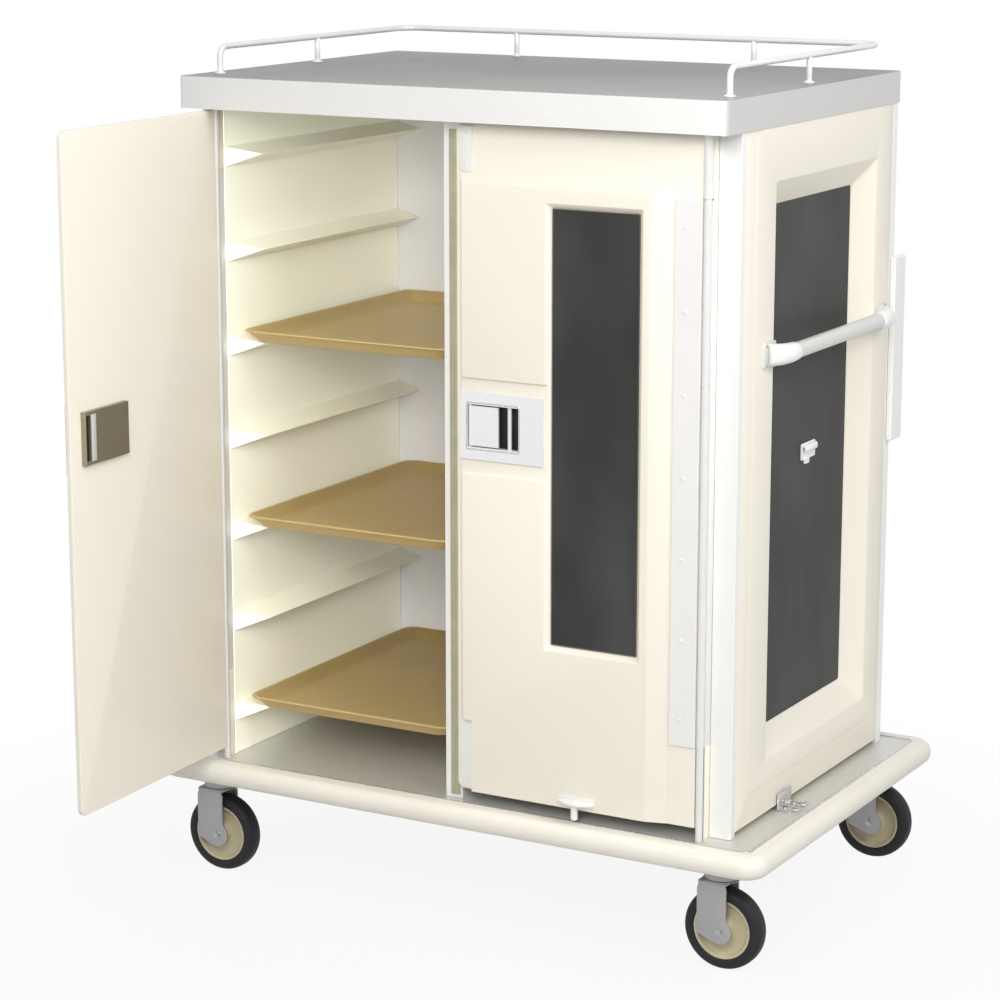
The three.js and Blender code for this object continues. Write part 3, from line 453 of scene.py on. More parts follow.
@dataclass(frozen=True)
class Painted(Finish):
    """Baked paint or plating with orange peel, dust and paler worn edges."""

    metallic: float = 0.0
    peel: float = 350.0

    def detail(self, tree: ShaderTree) -> dict:
        """Returns the painted surface's inputs."""
        peel = tree.noise((self.peel,) * 3, 2.0)
        dust = tree.noise((14.0, 14.0, 14.0), 4.0)
        body = self.shades(tree, dust, 0.93, 1.04)
        return {
            "Base Color": tree.mix(tree.worn_edges(0.52, 0.58) * 0.4, body, self.tint(1.12)),
            "Metallic": self.metallic,
            "Roughness": self.roughness + dust * 0.12 - 0.05,
            "Normal": tree.bump(peel, 0.2, 0.06 * MM),
        }


@dataclass(frozen=True)
class Rubber(Finish):
    """Tyre or seal rubber with a dusty bloom and a fine grain."""

    bloom: float = 1.5

    def detail(self, tree: ShaderTree) -> dict:
        """Returns the rubber's inputs."""
        grain = tree.noise((1400.0,) * 3, 2.0)
        dust = tree.mask(tree.noise((30.0,) * 3, 5.0, 0.65), 0.45, 0.75)
        return {
            "Base Color": tree.mix(dust, self.tint(0.9), self.tint(self.bloom)),
            "Roughness": self.roughness + dust * 0.15 - 0.05,
            "Specular IOR Level": 0.25,
            "Normal": tree.bump(grain, 0.3, 0.05 * MM),
        }


@dataclass(frozen=True)
class TrayResin(Finish):
    """Pressed fibre tray with woven flecks, cutlery rubs and paler edges."""

    def detail(self, tree: ShaderTree) -> dict:
        """Returns the tray's inputs."""
        flecks = tree.noise((420.0, 900.0, 500.0), 3.0, 0.6)
        rubs = tree.noise((12.0, 12.0, 12.0), 5.0, 0.6)
        body = self.shades(tree, flecks, 0.86, 1.13)
        used = tree.mix(rubs * 0.3, body, self.tint(0.86))
        return {
            "Base Color": tree.mix(tree.worn_edges(0.51, 0.56) * 0.6, used, self.tint(1.2)),
            "Roughness": self.roughness + rubs * 0.16 - 0.08,
            "Normal": tree.bump(flecks, 0.2, 0.06 * MM),
        }


DECK_STEEL = BrushedSteel("deck_steel", "stainless", srgb(200, 199, 194), 0.34, Grain.ALONG_X, 0.45)
# The cap's top and +X faces carry painted shade, and its top a painted light gradient from back to front.
CAP_STEEL_PAINTED_SHADE = CapSteel(
    "cap_steel_painted_shade", "stainless", srgb(250, 249, 247), 0.36, Grain.ALONG_X, 0.35,
    srgb(106, 107, 104), srgb(168, 169, 166),
)
POST_STEEL = BrushedSteel("post_steel", "stainless", srgb(248, 248, 246), 0.38, Grain.UPRIGHT, 0.2)
TRACK_STEEL = BrightSteel("track_steel", "bright_steel", srgb(205, 205, 203), 0.25, 0.7)
ROD_STEEL = BrightSteel("rod_steel", "bright_steel", srgb(234, 234, 232), 0.3, 0.3)
SCREW_STEEL = BrightSteel("screw_steel", "bright_steel", srgb(178, 178, 178), 0.3, 0.7)
RAIL_WHITE = Painted("rail_white", "bright_steel", srgb(244, 244, 244), 0.3, 0.1)
FITTING_WHITE = Painted("fitting_white", "white_steel", srgb(246, 246, 244), 0.35, 0.1)
HANDLE_STEEL = Painted("handle_steel", "white_steel", srgb(218, 218, 215), 0.35, 0.1)
STRIP_GREY = Painted("strip_grey", "white_steel", srgb(241, 240, 237), 0.4, 0.1)
CREAM = MouldedShell("cream_shell", "cream_panel", srgb(252, 246, 231), 0.42)
CREAM_LINER = MouldedShell("cream_liner", "cream_liner", srgb(241, 240, 221), 0.45, 700.0)
BACK_WALL = MouldedShell("back_wall", "white_steel", srgb(186, 184, 182), 0.35, 600.0)
BUMPER_VINYL = Vinyl("bumper_vinyl", "bumper_vinyl", srgb(250, 245, 233), 0.5)
PANE = SmokedPane("smoked_pane", "dark_pane", srgb(67, 67, 67), 0.45)
LATCH_STEEL = BrushedSteel("latch_steel", "latch_steel", srgb(160, 153, 130), 0.35, Grain.UPRIGHT, 0.6)
BEZEL_STEEL = BrushedSteel("bezel_steel", "bright_steel", srgb(240, 240, 241), 0.35, Grain.ALONG_X, 0.3)
CASTER_STEEL = Painted("caster_steel", "caster_steel", srgb(168, 168, 169), 0.42, 0.4, 220.0)
CASTER_CORE = MouldedShell("caster_core", "caster_core", srgb(200, 190, 156), 0.5, 500.0)
TYRE = Rubber("tyre_rubber", "tyre_rubber", srgb(40, 40, 41), 0.6, 1.25)
SEAL = Rubber("door_seal", "cream_liner", srgb(192, 188, 160), 0.6, 1.08)
PANE_SEAL = Rubber("pane_seal", "tyre_rubber", srgb(112, 104, 88), 0.6, 1.1)
# Dark cam colour, which also paints shade as thin dark sheets in the latch's cup and slot.
DARK_CAM_AND_PAINTED_SHADE = Rubber("latch_cam_and_painted_shade", "tyre_rubber", srgb(30, 30, 32), 0.6)
TRAY = TrayResin("tray_resin", "tray_resin", srgb(208, 182, 124), 0.45)


# ---- mesh code ----
class Shape:
    """Collects the bodies of one piece, in metres, in the row frame."""

    def __init__(self, matrix: Optional[Matrix] = None) -> None:
        """Starts an empty shape.

        Args:
            matrix: Takes the shape's own coordinates to the row frame.
        """
        self.mesh = bmesh.new()
        self.matrix = matrix or Matrix.Identity(4)

    def _take(self, part: bmesh.types.BMesh) -> "Shape":
        """Adds a finished body, with its normals outwards, and frees it."""
        bmesh.ops.recalc_face_normals(part, faces=part.faces)
        carrier = bpy.data.meshes.new("carrier")
        part.to_mesh(carrier)
        self.mesh.from_mesh(carrier)
        bpy.data.meshes.remove(carrier)
        part.free()
        return self

    def block(self, low: Point, high: Point, bevel: float = 1.0 * MM, segments: int = 2) -> "Shape":
        """Adds a box with rounded edges.

        Args:
            low: One corner.
            high: The corner across from it.
            bevel: Width of the rounding.
            segments: Steps of the rounding.

        Returns:
            The shape itself.
        """
        part = bmesh.new()
        bmesh.ops.create_cube(part, size=1.0)
        middle = (Vector(low) + Vector(high)) / 2
        for vertex in part.verts:
            vertex.co = Vector(c * abs(h - l) for c, l, h in zip(vertex.co, low, high)) + middle
        self._round(part, bevel, segments)
        return self._take(part)

    @staticmethod
    def _round(part: bmesh.types.BMesh, bevel: float, segments: int, angle: float = 0.6) -> None:
        """Rounds every edge sharper than an angle."""
        if bevel <= 0:
            return
        part.normal_update()
        sharp = [e for e in part.edges if len(e.link_faces) == 2 and e.calc_face_angle(0) > angle]
        bmesh.ops.bevel(
            part, geom=sharp, offset=bevel, segments=segments, profile=0.5,
            affect="EDGES", clamp_overlap=True,
        )

    def prism(
        self, outline: Sequence[Point], rise: Point, bevel: float = 0.5 * MM, segments: int = 2,
    ) -> "Shape":
        """Adds a flat outline pushed along a vector.

        Args:
            outline: Corners in order.
            rise: The push.
            bevel: Width of the rounding.
            segments: Steps of the rounding.

        Returns:
            The shape itself.
        """
        part = bmesh.new()
        base = [part.verts.new(Vector(p)) for p in outline]
        top = [part.verts.new(Vector(p) + Vector(rise)) for p in outline]
        part.faces.new(base)
        part.faces.new(top[::-1])
        for index in range(len(base)):
            following = (index + 1) % len(base)
            part.faces.new((base[index], top[index], top[following], base[following]))
        self._round(part, bevel, segments)
        return self._take(part)

    def loft(self, rings: Sequence[Sequence[Point]], closed: bool = False) -> "Shape":
        """Joins rings of equal point counts.

        Args:
            rings: The rings in order.
            closed: True where the last ring meets the first; otherwise both ends are capped.

        Returns:
            The shape itself.
        """
        part = bmesh.new()
        rows = [[part.verts.new(Vector(p)) for p in ring] for ring in rings]
        pairs = list(zip(rows, rows[1:] + rows[:1])) if closed else list(zip(rows, rows[1:]))
        for first, second in pairs:
            for index in range(len(first)):
                following = (index + 1) % len(first)
                part.faces.new((first[index], first[following], second[following], second[index]))
        if not closed:
            part.faces.new(rows[0])
            part.faces.new(rows[-1][::-1])
        return self._take(part)

    def lathe(
        self, centre: Point, axis: Point, profile: Sequence[tuple[float, float]], sides: int = 48,
    ) -> "Shape":
        """Turns a profile round an axis.

        Args:
            centre: The point that the profile's distances along the axis start from.
            axis: The axis.
            profile: Pairs of radius and distance along the axis. One that ends where it starts makes a ring.
            sides: Steps of the turn.

        Returns:
            The shape itself.
        """
        turn = Vector((0, 0, 1)).rotation_difference(Vector(axis).normalized()).to_matrix()
        closed = profile[0] == profile[-1]
        stations = profile[:-1] if closed else profile
        rings = []
        for radius, along in stations:
            ring = []
            for step in range(sides):
                angle = math.tau * step / sides
                local = Vector((radius * math.cos(angle), radius * math.sin(angle), along))
                ring.append(Vector(centre) + turn @ local)
            rings.append(ring)
        return self.loft(rings, closed)

    def rod(
        self, start: Point, end: Point, radius: float, chamfer: float = 0.6 * MM, sides: int = 24,
    ) -> "Shape":
        """Adds a round rod with chamfered ends."""
        axis = Vector(end) - Vector(start)
        length = axis.length
        chamfer = min(chamfer, radius * 0.5, length * 0.4)
        profile = [
            (radius - chamfer, 0.0), (radius, chamfer),
            (radius, length - chamfer), (radius - chamfer, length),
        ]
        return self.lathe(start, axis, profile, sides)

    def sweep(self, path: Sequence[Vector], radius: float, sides: int = 16) -> "Shape":
        """Carries a circle along a path without twist.

        Args:
            path: Points in order.
            radius: The tube's radius.
            sides: Points of the circle.

        Returns:
            The shape itself.
        """
        tangents = []
        for index in range(len(path)):
            before = path[max(index - 1, 0)]
            after = path[min(index + 1, len(path) - 1)]
            tangents.append((after - before).normalized())
        normal = tangents[0].orthogonal().normalized()
        rings = []
        for point, tangent in zip(path, tangents):
            normal = (normal - tangent * normal.dot(tangent)).normalized()
            side = tangent.cross(normal)
            angles = [math.tau * step / sides for step in range(sides)]
            rings.append([point + (normal * math.cos(a) + side * math.sin(a)) * radius for a in angles])
        return self.loft(rings)

    def cut(self, cutter: "Shape") -> "Shape":
        """Takes another shape out of this one.

        Args:
            cutter: The shape that is taken out, in the same coordinates; it is used up.

        Returns:
            The shape itself.
        """
        carriers = []
        for shape in (self, cutter):
            mesh = bpy.data.meshes.new("carrier")
            shape.mesh.to_mesh(mesh)
            shape.mesh.free()
            carriers.append(bpy.data.objects.new("carrier", mesh))
            bpy.context.scene.collection.objects.link(carriers[-1])
        body, tool = carriers
        modifier = body.modifiers.new("cut", "BOOLEAN")
        modifier.operation = "DIFFERENCE"
        modifier.solver = "EXACT"
        modifier.object = tool
        evaluated = body.evaluated_get(bpy.context.evaluated_depsgraph_get())
        result = bpy.data.meshes.new_from_object(evaluated)
        self.mesh = bmesh.new()
        self.mesh.from_mesh(result)
        bpy.data.meshes.remove(result)
        for carrier in carriers:
            mesh = carrier.data
            bpy.data.objects.remove(carrier)
            bpy.data.meshes.remove(mesh)
        return self

    def rounded(self, bevel: float, segments: int = 2, angle: float = 20.0) -> "Shape":
        """Rounds every edge of the shape that is sharper than an angle.

        Args:
            bevel: Width of the rounding.
            segments: Steps of the rounding.
            angle: The angle in degrees.

        Returns:
            The shape itself.
        """
        bmesh.ops.remove_doubles(self.mesh, verts=self.mesh.verts, dist=0.01 * MM)
        self._round(self.mesh, bevel, segments, math.radians(angle))
        return self

    def piece(
        self,
        name: str,
        finish: Finish,
        body: str,
        replaces: Sequence[str] = (),
        smooth_angle: float = 40.0,
    ) -> bpy.types.Object:
        """Ends the shape as a named piece on a body.

        Args:
            name: The piece's name.
            finish: Its finish.
            body: The body that it rides on.
            replaces: CAD nodes that it stands for.
            smooth_angle: Edges sharper than this many degrees stay sharp.

        Returns:
            The piece.
        """
        mesh = bpy.data.meshes.new(name)
        self.mesh.transform(self.matrix)
        bmesh.ops.recalc_face_normals(self.mesh, faces=self.mesh.faces)
        self.mesh.to_mesh(mesh)
        self.mesh.free()
        shown = bpy.data.objects.new(name, mesh)
        bpy.context.scene.collection.objects.link(shown)
        mesh.materials.append(finish.material())
        mesh.shade_smooth()
        mesh.set_sharp_from_angle(angle=math.radians(smooth_angle))
        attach(shown, body)
        if replaces:
            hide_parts(*replaces)
        LOG.info("piece %s: %s faces on %s", name, len(mesh.polygons), body)
        return shown


def dress(name: str, finish: Finish, bevel: float = 1.2 * MM, segments: int = 2) -> None:
    """Gives a CAD node its finish and rounds its edges by modifiers.

    Args:
        name: The node.
        finish: Its finish.
        bevel: Width of the rounding, 0 for none.
        segments: Steps of the rounding.
    """
    node = frame["nodes"][name]
    node.data.materials.clear()
    node.data.materials.append(finish.material())
    node.data.shade_smooth()
    weld = node.modifiers.new("weld", "WELD")
    weld.merge_threshold = 0.02 * MM
    flats = node.modifiers.new("flats", "DECIMATE")
    flats.decimate_type = "DISSOLVE"
    flats.angle_limit = math.radians(0.5)
    if bevel > 0:
        rounding = node.modifiers.new("rounding", "BEVEL")
        rounding.width = bevel
        rounding.segments = segments
        rounding.limit_method = "ANGLE"
        rounding.angle_limit = math.radians(28)
        rounding.use_clamp_overlap = True
    shading = node.modifiers.new("shading", "WEIGHTED_NORMAL")
    shading.keep_sharp = False
    shading.weight = 80
    LOG.info("node %s: %s", name, finish.name)


def bent_path(corners: Sequence[Point], radii: Sequence[float], steps: int = 8) -> list[Vector]:
    """Returns a path with its inner corners rounded.

    Args:
        corners: The path's corners.
        radii: A bend radius for each inner corner.
        steps: Points of a bend.

    Returns:
        The path's points.
    """
    points = [Vector(corners[0])]
    for before, corner, after, radius in zip(corners, corners[1:], corners[2:], radii):
        corner = Vector(corner)
        inward = (Vector(before) - corner).normalized()
        onward = (Vector(after) - corner).normalized()
        half = inward.angle(onward) / 2
        reach = radius / math.tan(half)
        centre = corner + (inward + onward).normalized() * (radius / math.sin(half))
        start = corner + inward * reach - centre
        end = corner + onward * reach - centre
        axis = start.cross(end)
        for step in range(steps + 1):
            turn = Matrix.Rotation(start.angle(end) * step / steps, 3, axis)
            points.append(centre + turn @ start)
    points.append(Vector(corners[-1]))
    return points


def rounded_ring(
    at: Callable[[float, float], Point],
    low: tuple[float, float],
    high: tuple[float, float],
    radius: float,
    steps: int = 5,
) -> list[Point]:
    """Returns a rectangle with round corners.

    Args:
        at: Takes the rectangle's two coordinates to a point.
        low: Its lowest corner.
        high: Its highest corner.
        radius: Its corners' radius.
        steps: Points of a corner, less one.

    Returns:
        The ring's points.
    """
    corners = [
        (high[0] - radius, low[1] + radius, -90), (high[0] - radius, high[1] - radius, 0),
        (low[0] + radius, high[1] - radius, 90), (low[0] + radius, low[1] + radius, 180),
    ]
    ring = []
    for first, second, start in corners:
        for step in range(steps + 1):
            angle = math.radians(start + 90 * step / steps)
            ring.append(at(first + radius * math.cos(angle), second + radius * math.sin(angle)))
    return ring


def screw(shape: Shape, place: Point, out: Point, radius: float = 3.2 * MM) -> None:
    """Adds a domed screw head with a hexagon socket.

    Args:
        shape: The shape that takes it.
        place: The middle of its seat.
        out: The way that it faces.
        radius: The head's radius.
    """
    height = radius * 0.55
    socket = radius * 0.42
    shape.lathe(
        place, out,
        [(radius, 0.0), (radius, height * 0.35), (radius * 0.8, height * 0.85), (socket * 1.3, height),
         (socket, height * 0.95), (socket * 0.9, height * 0.35)],
        18,
    )


def hexagon(at: Callable[[float, float], Point], radius: float, turn: float) -> list[Point]:
    """Returns a hexagon's corners.

    Args:
        at: Takes the hexagon's two coordinates to a point.
        radius: From its middle to a corner.
        turn: The first corner's angle in radians.

    Returns:
        The corners in order.
    """
    angles = [math.tau * step / 6 + turn for step in range(6)]
    return [at(radius * math.cos(angle), radius * math.sin(angle)) for angle in angles]


def spread(low: float, high: float, margin: float, count: int) -> list[float]:
    """Returns evenly spaced places between two ends, with a margin at each."""
    run = high - low - 2 * margin
    return [low + margin + run * index / (count - 1) for index in range(count)]


# ---- measured from the frame ----
def joint_place(name: str) -> Vector:
    """Returns a hinge joint's point."""
    return Vector(next(joint["pos_m"] for joint in frame["joints"] if joint["name"] == name))


class Side(Enum):
    """The cart's left and right, with the sign of X there."""

    LEFT = ("left", -1)
    RIGHT = ("right", 1)

    @property
    def word(self) -> str:
        """The side's name."""
        return self.value[0]

    @property
    def sign(self) -> int:
        """The sign of X on this side."""
        return self.value[1]


# ---- deck and casters ----
@dataclass
class Deck:
    """The bumpered deck: sheet, track, bumper and the frame beneath it."""

    track_wall: float = 3.7 * MM
    corner: float = 6.0 * MM
    nose: float = 15.0 * MM
    section_steps: int = 12
    corner_steps: int = 10
    splice: float = 2.0 * MM

    def build(self) -> None:
        """Builds and dresses the whole deck."""
        dress("base_deck", DECK_STEEL, 1.5 * MM, 3)
        dress("base_frame", CASTER_STEEL, 0.8 * MM)
        self._track()
        self._bumper()

    def _ring(self, low: Vector, high: Vector, inset: float, level: float) -> list[Point]:
        """Returns a rounded outline inside a box's walls at a level."""
        radius = self.corner + self.track_wall - inset
        return rounded_ring(
            lambda x, y: (x, y, level),
            (low.x + inset, low.y + inset), (high.x - inset, high.y - inset), max(radius, 1 * MM),
            self.corner_steps,
        )

    def _track(self) -> None:
        """Makes the bright track that grips the bumper, with rounded upper edges."""
        low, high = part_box("bumper_track")
        wall = self.track_wall
        lip = 0.9 * MM
        stations = [
            (0.0, low.z), (0.0, high.z - lip), (0.3 * MM, high.z - 0.3 * MM), (lip, high.z),
            (wall - lip, high.z), (wall - 0.3 * MM, high.z - 0.3 * MM), (wall, high.z - lip), (wall, low.z),
        ]
        rings = [self._ring(low, high, inset, level) for inset, level in stations]
        Shape().loft(rings, closed=True).piece("bumper_track_rolled", TRACK_STEEL, "cart", ["bumper_track"])

    def _bumper(self) -> None:
        """Makes the soft bumper, a rounded nose on a flat back, and the two lips of its splice behind."""
        low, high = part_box("bumper")
        track_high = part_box("bumper_track")[1]
        reach = high.x - track_high.x - SEAT
        middle = (low.z + high.z) / 2
        half = (high.z - low.z) / 2
        flat = reach - self.nose
        section = [(reach, half), (reach, -half)]
        for step in range(self.section_steps + 1):
            angle = -math.pi / 2 + math.pi * step / self.section_steps
            section.append((reach - flat - self.nose * math.cos(angle), half * math.sin(angle)))
        radius = self.corner + self.track_wall + reach
        rings = []
        for inset, rise in section:
            rings.append(rounded_ring(
                lambda x, y, level=middle + rise: (x, y, level),
                (low.x + inset, low.y + inset), (high.x - inset, high.y - inset), radius - inset,
                self.corner_steps,
            ))
        Shape().loft(rings, closed=True).piece("bumper_soft", BUMPER_VINYL, "cart", ["bumper"], 60.0)
        cover = Shape()
        rear = high.y
        for offset in (-self.splice, self.splice):
            cover.block(
                (offset - 0.5 * MM, rear - reach * 0.55, low.z + 3 * MM),
                (offset + 0.5 * MM, rear - 0.1 * MM, high.z - 5 * MM), 0.3 * MM,
            )
        cover.piece("bumper_splice", SEAL, "cart")


@dataclass
class Caster:
    """One swivel caster."""

    place: str
    leg_lean: float = 13.0 * MM
    boss: float = 20.0 * MM
    toe_drop: float = 7.0 * MM
    leg_thickness: float = 4.0 * MM
    outline_steps: int = 14
    boss_start: float = 248.0
    boss_end: float = 412.0
    crown_gap: float = 7.0 * MM
    crown_thickness: float = 6.0 * MM
    race: float = 29.0 * MM
    washer: float = 6.8 * MM
    bolt_head: float = 5.2 * MM
    plate_bolt_across: float = 39.0 * MM
    plate_bolt_along: float = 24.0 * MM
    plate_underside: float = 153.0 * MM

    def build(self) -> None:
        """Builds the yoke with its axle bolt, the wheel core, the tyre and the plate's bolts."""
        self.pivot = joint_place(f"swivel_{self.place}_turn")
        self.axle = joint_place(f"wheel_{self.place}_spin")
        self._yoke()
        self._wheel()
        self._plate_bolts()

    def _yoke(self) -> None:
        """Makes the yoke, which is two legs, a crown and the race, and then its axle bolt."""
        low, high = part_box(f"caster_fork_{self.place}")
        axle_x, axle_y, axle_z = self.axle
        leg_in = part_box(f"wheel_core_{self.place}")[1].y - axle_y + 2.5 * MM
        leg_out = leg_in + self.leg_thickness
        x0 = low.x
        x1 = axle_x - self.leg_lean + (axle_x - self.leg_lean - x0)
        tyre_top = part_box(f"tyre_{self.place}")[1].z
        crown_low = tyre_top + self.crown_gap
        crown_high = tyre_top + self.crown_gap + self.crown_thickness
        shape = Shape()
        outline = [(x0 + 4 * MM, crown_high - 1 * MM), (x0, crown_low - 6 * MM), (x0, axle_z - self.toe_drop)]
        turn = self.boss_end - self.boss_start
        for step in range(self.outline_steps + 1):
            angle = math.radians(self.boss_start + turn * step / self.outline_steps)
            outline.append((axle_x + self.boss * math.cos(angle), axle_z + self.boss * math.sin(angle)))
        outline += [(x1, axle_z + 20 * MM), (x1, crown_low - 6 * MM), (x1 - 4 * MM, crown_high - 1 * MM)]
        for end in (-1, 1):
            start = axle_y + end * leg_in
            leg = [(x, start, z) for x, z in outline]
            shape.prism(leg, (0, end * self.leg_thickness, 0), 0.9 * MM, 2)
        shape.block(
            (x0 + 1 * MM, axle_y - leg_out + 0.4 * MM, crown_low),
            (x1 - 1 * MM, axle_y + leg_out - 0.4 * MM, crown_high), 2.0 * MM, 3,
        )
        top, race = high.z, self.race
        shape.lathe(
            (self.pivot.x, self.pivot.y, 0), (0, 0, 1),
            [(race * 0.8, crown_high - 1 * MM), (race - 1 * MM, crown_high), (race, crown_high + 0.8 * MM),
             (race, top - 1.2 * MM), (race - 1 * MM, top - 0.4 * MM), (race * 0.9, top)],
        )
        shape.piece(
            f"caster_yoke_{self.place}", CASTER_STEEL, f"swivel_{self.place}", [f"caster_fork_{self.place}"],
        )
        self._axle_bolt(leg_in, leg_out)

    def _axle_bolt(self, leg_in: float, leg_out: float) -> None:
        """Makes the axle with a washer and a hexagon at each end.

        Args:
            leg_in: From the wheel's middle to a leg's inner face.
            leg_out: From the wheel's middle to a leg's outer face.
        """
        shape = Shape()
        x, y, z = self.axle
        shape.rod((x, y - leg_in - 1 * MM, z), (x, y + leg_in + 1 * MM, z), 4.9 * MM)
        tip = 4.8 * MM
        for end in (-1, 1):
            face = y + end * leg_out
            seat = face + end * 0.9 * MM
            shape.rod((x, face - end * 0.3 * MM, z), (x, face + end * 1.2 * MM, z), self.washer, 0.3 * MM, 32)
            head = hexagon(lambda across, up, y=seat: (x + across, y, z + up), self.bolt_head, 0.2 * end)
            shape.prism(head, (0, end * (tip - 1.2 * MM), 0), 0.5 * MM)
        shape.piece(f"axle_bolt_{self.place}", SCREW_STEEL, f"swivel_{self.place}")

    def _wheel(self) -> None:
        """Turns the wheel core and the tyre."""
        core_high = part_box(f"wheel_core_{self.place}")[1]
        tyre_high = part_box(f"tyre_{self.place}")[1]
        radius = tyre_high.z - self.axle.z
        core = core_high.z - self.axle.z
        half_hub = core_high.y - self.axle.y
        half_tyre = tyre_high.y - self.axle.y
        rim = half_tyre - 2 * MM
        web = half_tyre - 9.5 * MM
        bore = 5.3 * MM
        half = [
            (bore, half_hub), (14.5 * MM, half_hub),
            (15.7 * MM, half_hub - 0.6 * MM), (16.6 * MM, half_hub - 2.5 * MM),
            (18 * MM, web + 2 * MM), (20.5 * MM, web + 0.4 * MM), (24 * MM, web), (core - 10 * MM, web),
            (core - 7.5 * MM, web + 0.6 * MM), (core - 5.6 * MM, web + 2.4 * MM),
            (core - 4.4 * MM, rim - 1.4 * MM),
            (core - 3.4 * MM, rim - 0.3 * MM), (core - 2 * MM, rim), (core, rim - 0.2 * MM),
        ]
        profile = half + [(r, -a) for r, a in reversed(half)]
        Shape().lathe(self.axle, (0, 1, 0), [*profile, profile[0]], 64).piece(
            f"wheel_hub_{self.place}", CASTER_CORE, f"wheel_{self.place}", [f"wheel_core_{self.place}"],
        )
        inner = core + SEAT
        side = [
            (inner, half_tyre - 2.4 * MM), (inner + 1.2 * MM, half_tyre - 0.7 * MM),
            (inner + 3 * MM, half_tyre),
            (radius - 7 * MM, half_tyre - 0.6 * MM), (radius - 4.2 * MM, half_tyre - 1.9 * MM),
            (radius - 2 * MM, half_tyre - 4.4 * MM), (radius - 0.7 * MM, half_tyre - 7.6 * MM),
            (radius - 0.1 * MM, half_tyre - 11 * MM), (radius, half_tyre - 14 * MM),
        ]
        section = side + [(r, -a) for r, a in reversed(side)]
        Shape().lathe(self.axle, (0, 1, 0), [*section, section[0]], 96).piece(
            f"tyre_tread_{self.place}", TYRE, f"wheel_{self.place}", [f"tyre_{self.place}"], 60.0,
        )

    def _plate_bolts(self) -> None:
        """Makes the mounting plate's bolts and washers, where the frame's rails are above them."""
        frame_low, frame_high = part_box("base_frame")
        underside = self.plate_underside
        shape = Shape()
        for side_x in (-1, 1):
            for side_y in (-1, 1):
                x = self.pivot.x + side_x * self.plate_bolt_across
                y = self.pivot.y + side_y * self.plate_bolt_along
                if not frame_low.y + 8 * MM < y < frame_high.y - 8 * MM:
                    continue
                shape.rod((x, y, underside + 0.2 * MM), (x, y, underside - 1.3 * MM), 8 * MM, 0.3 * MM, 24)
                seat = underside - 1 * MM
                head = hexagon(lambda a, b, x=x, y=y: (x + a, y + b, seat), 6.4 * MM, 0.3 * side_x)
                shape.prism(head, (0, 0, -5 * MM), 0.5 * MM)
        shape.piece(f"plate_bolts_{self.place}", SCREW_STEEL, "cart")


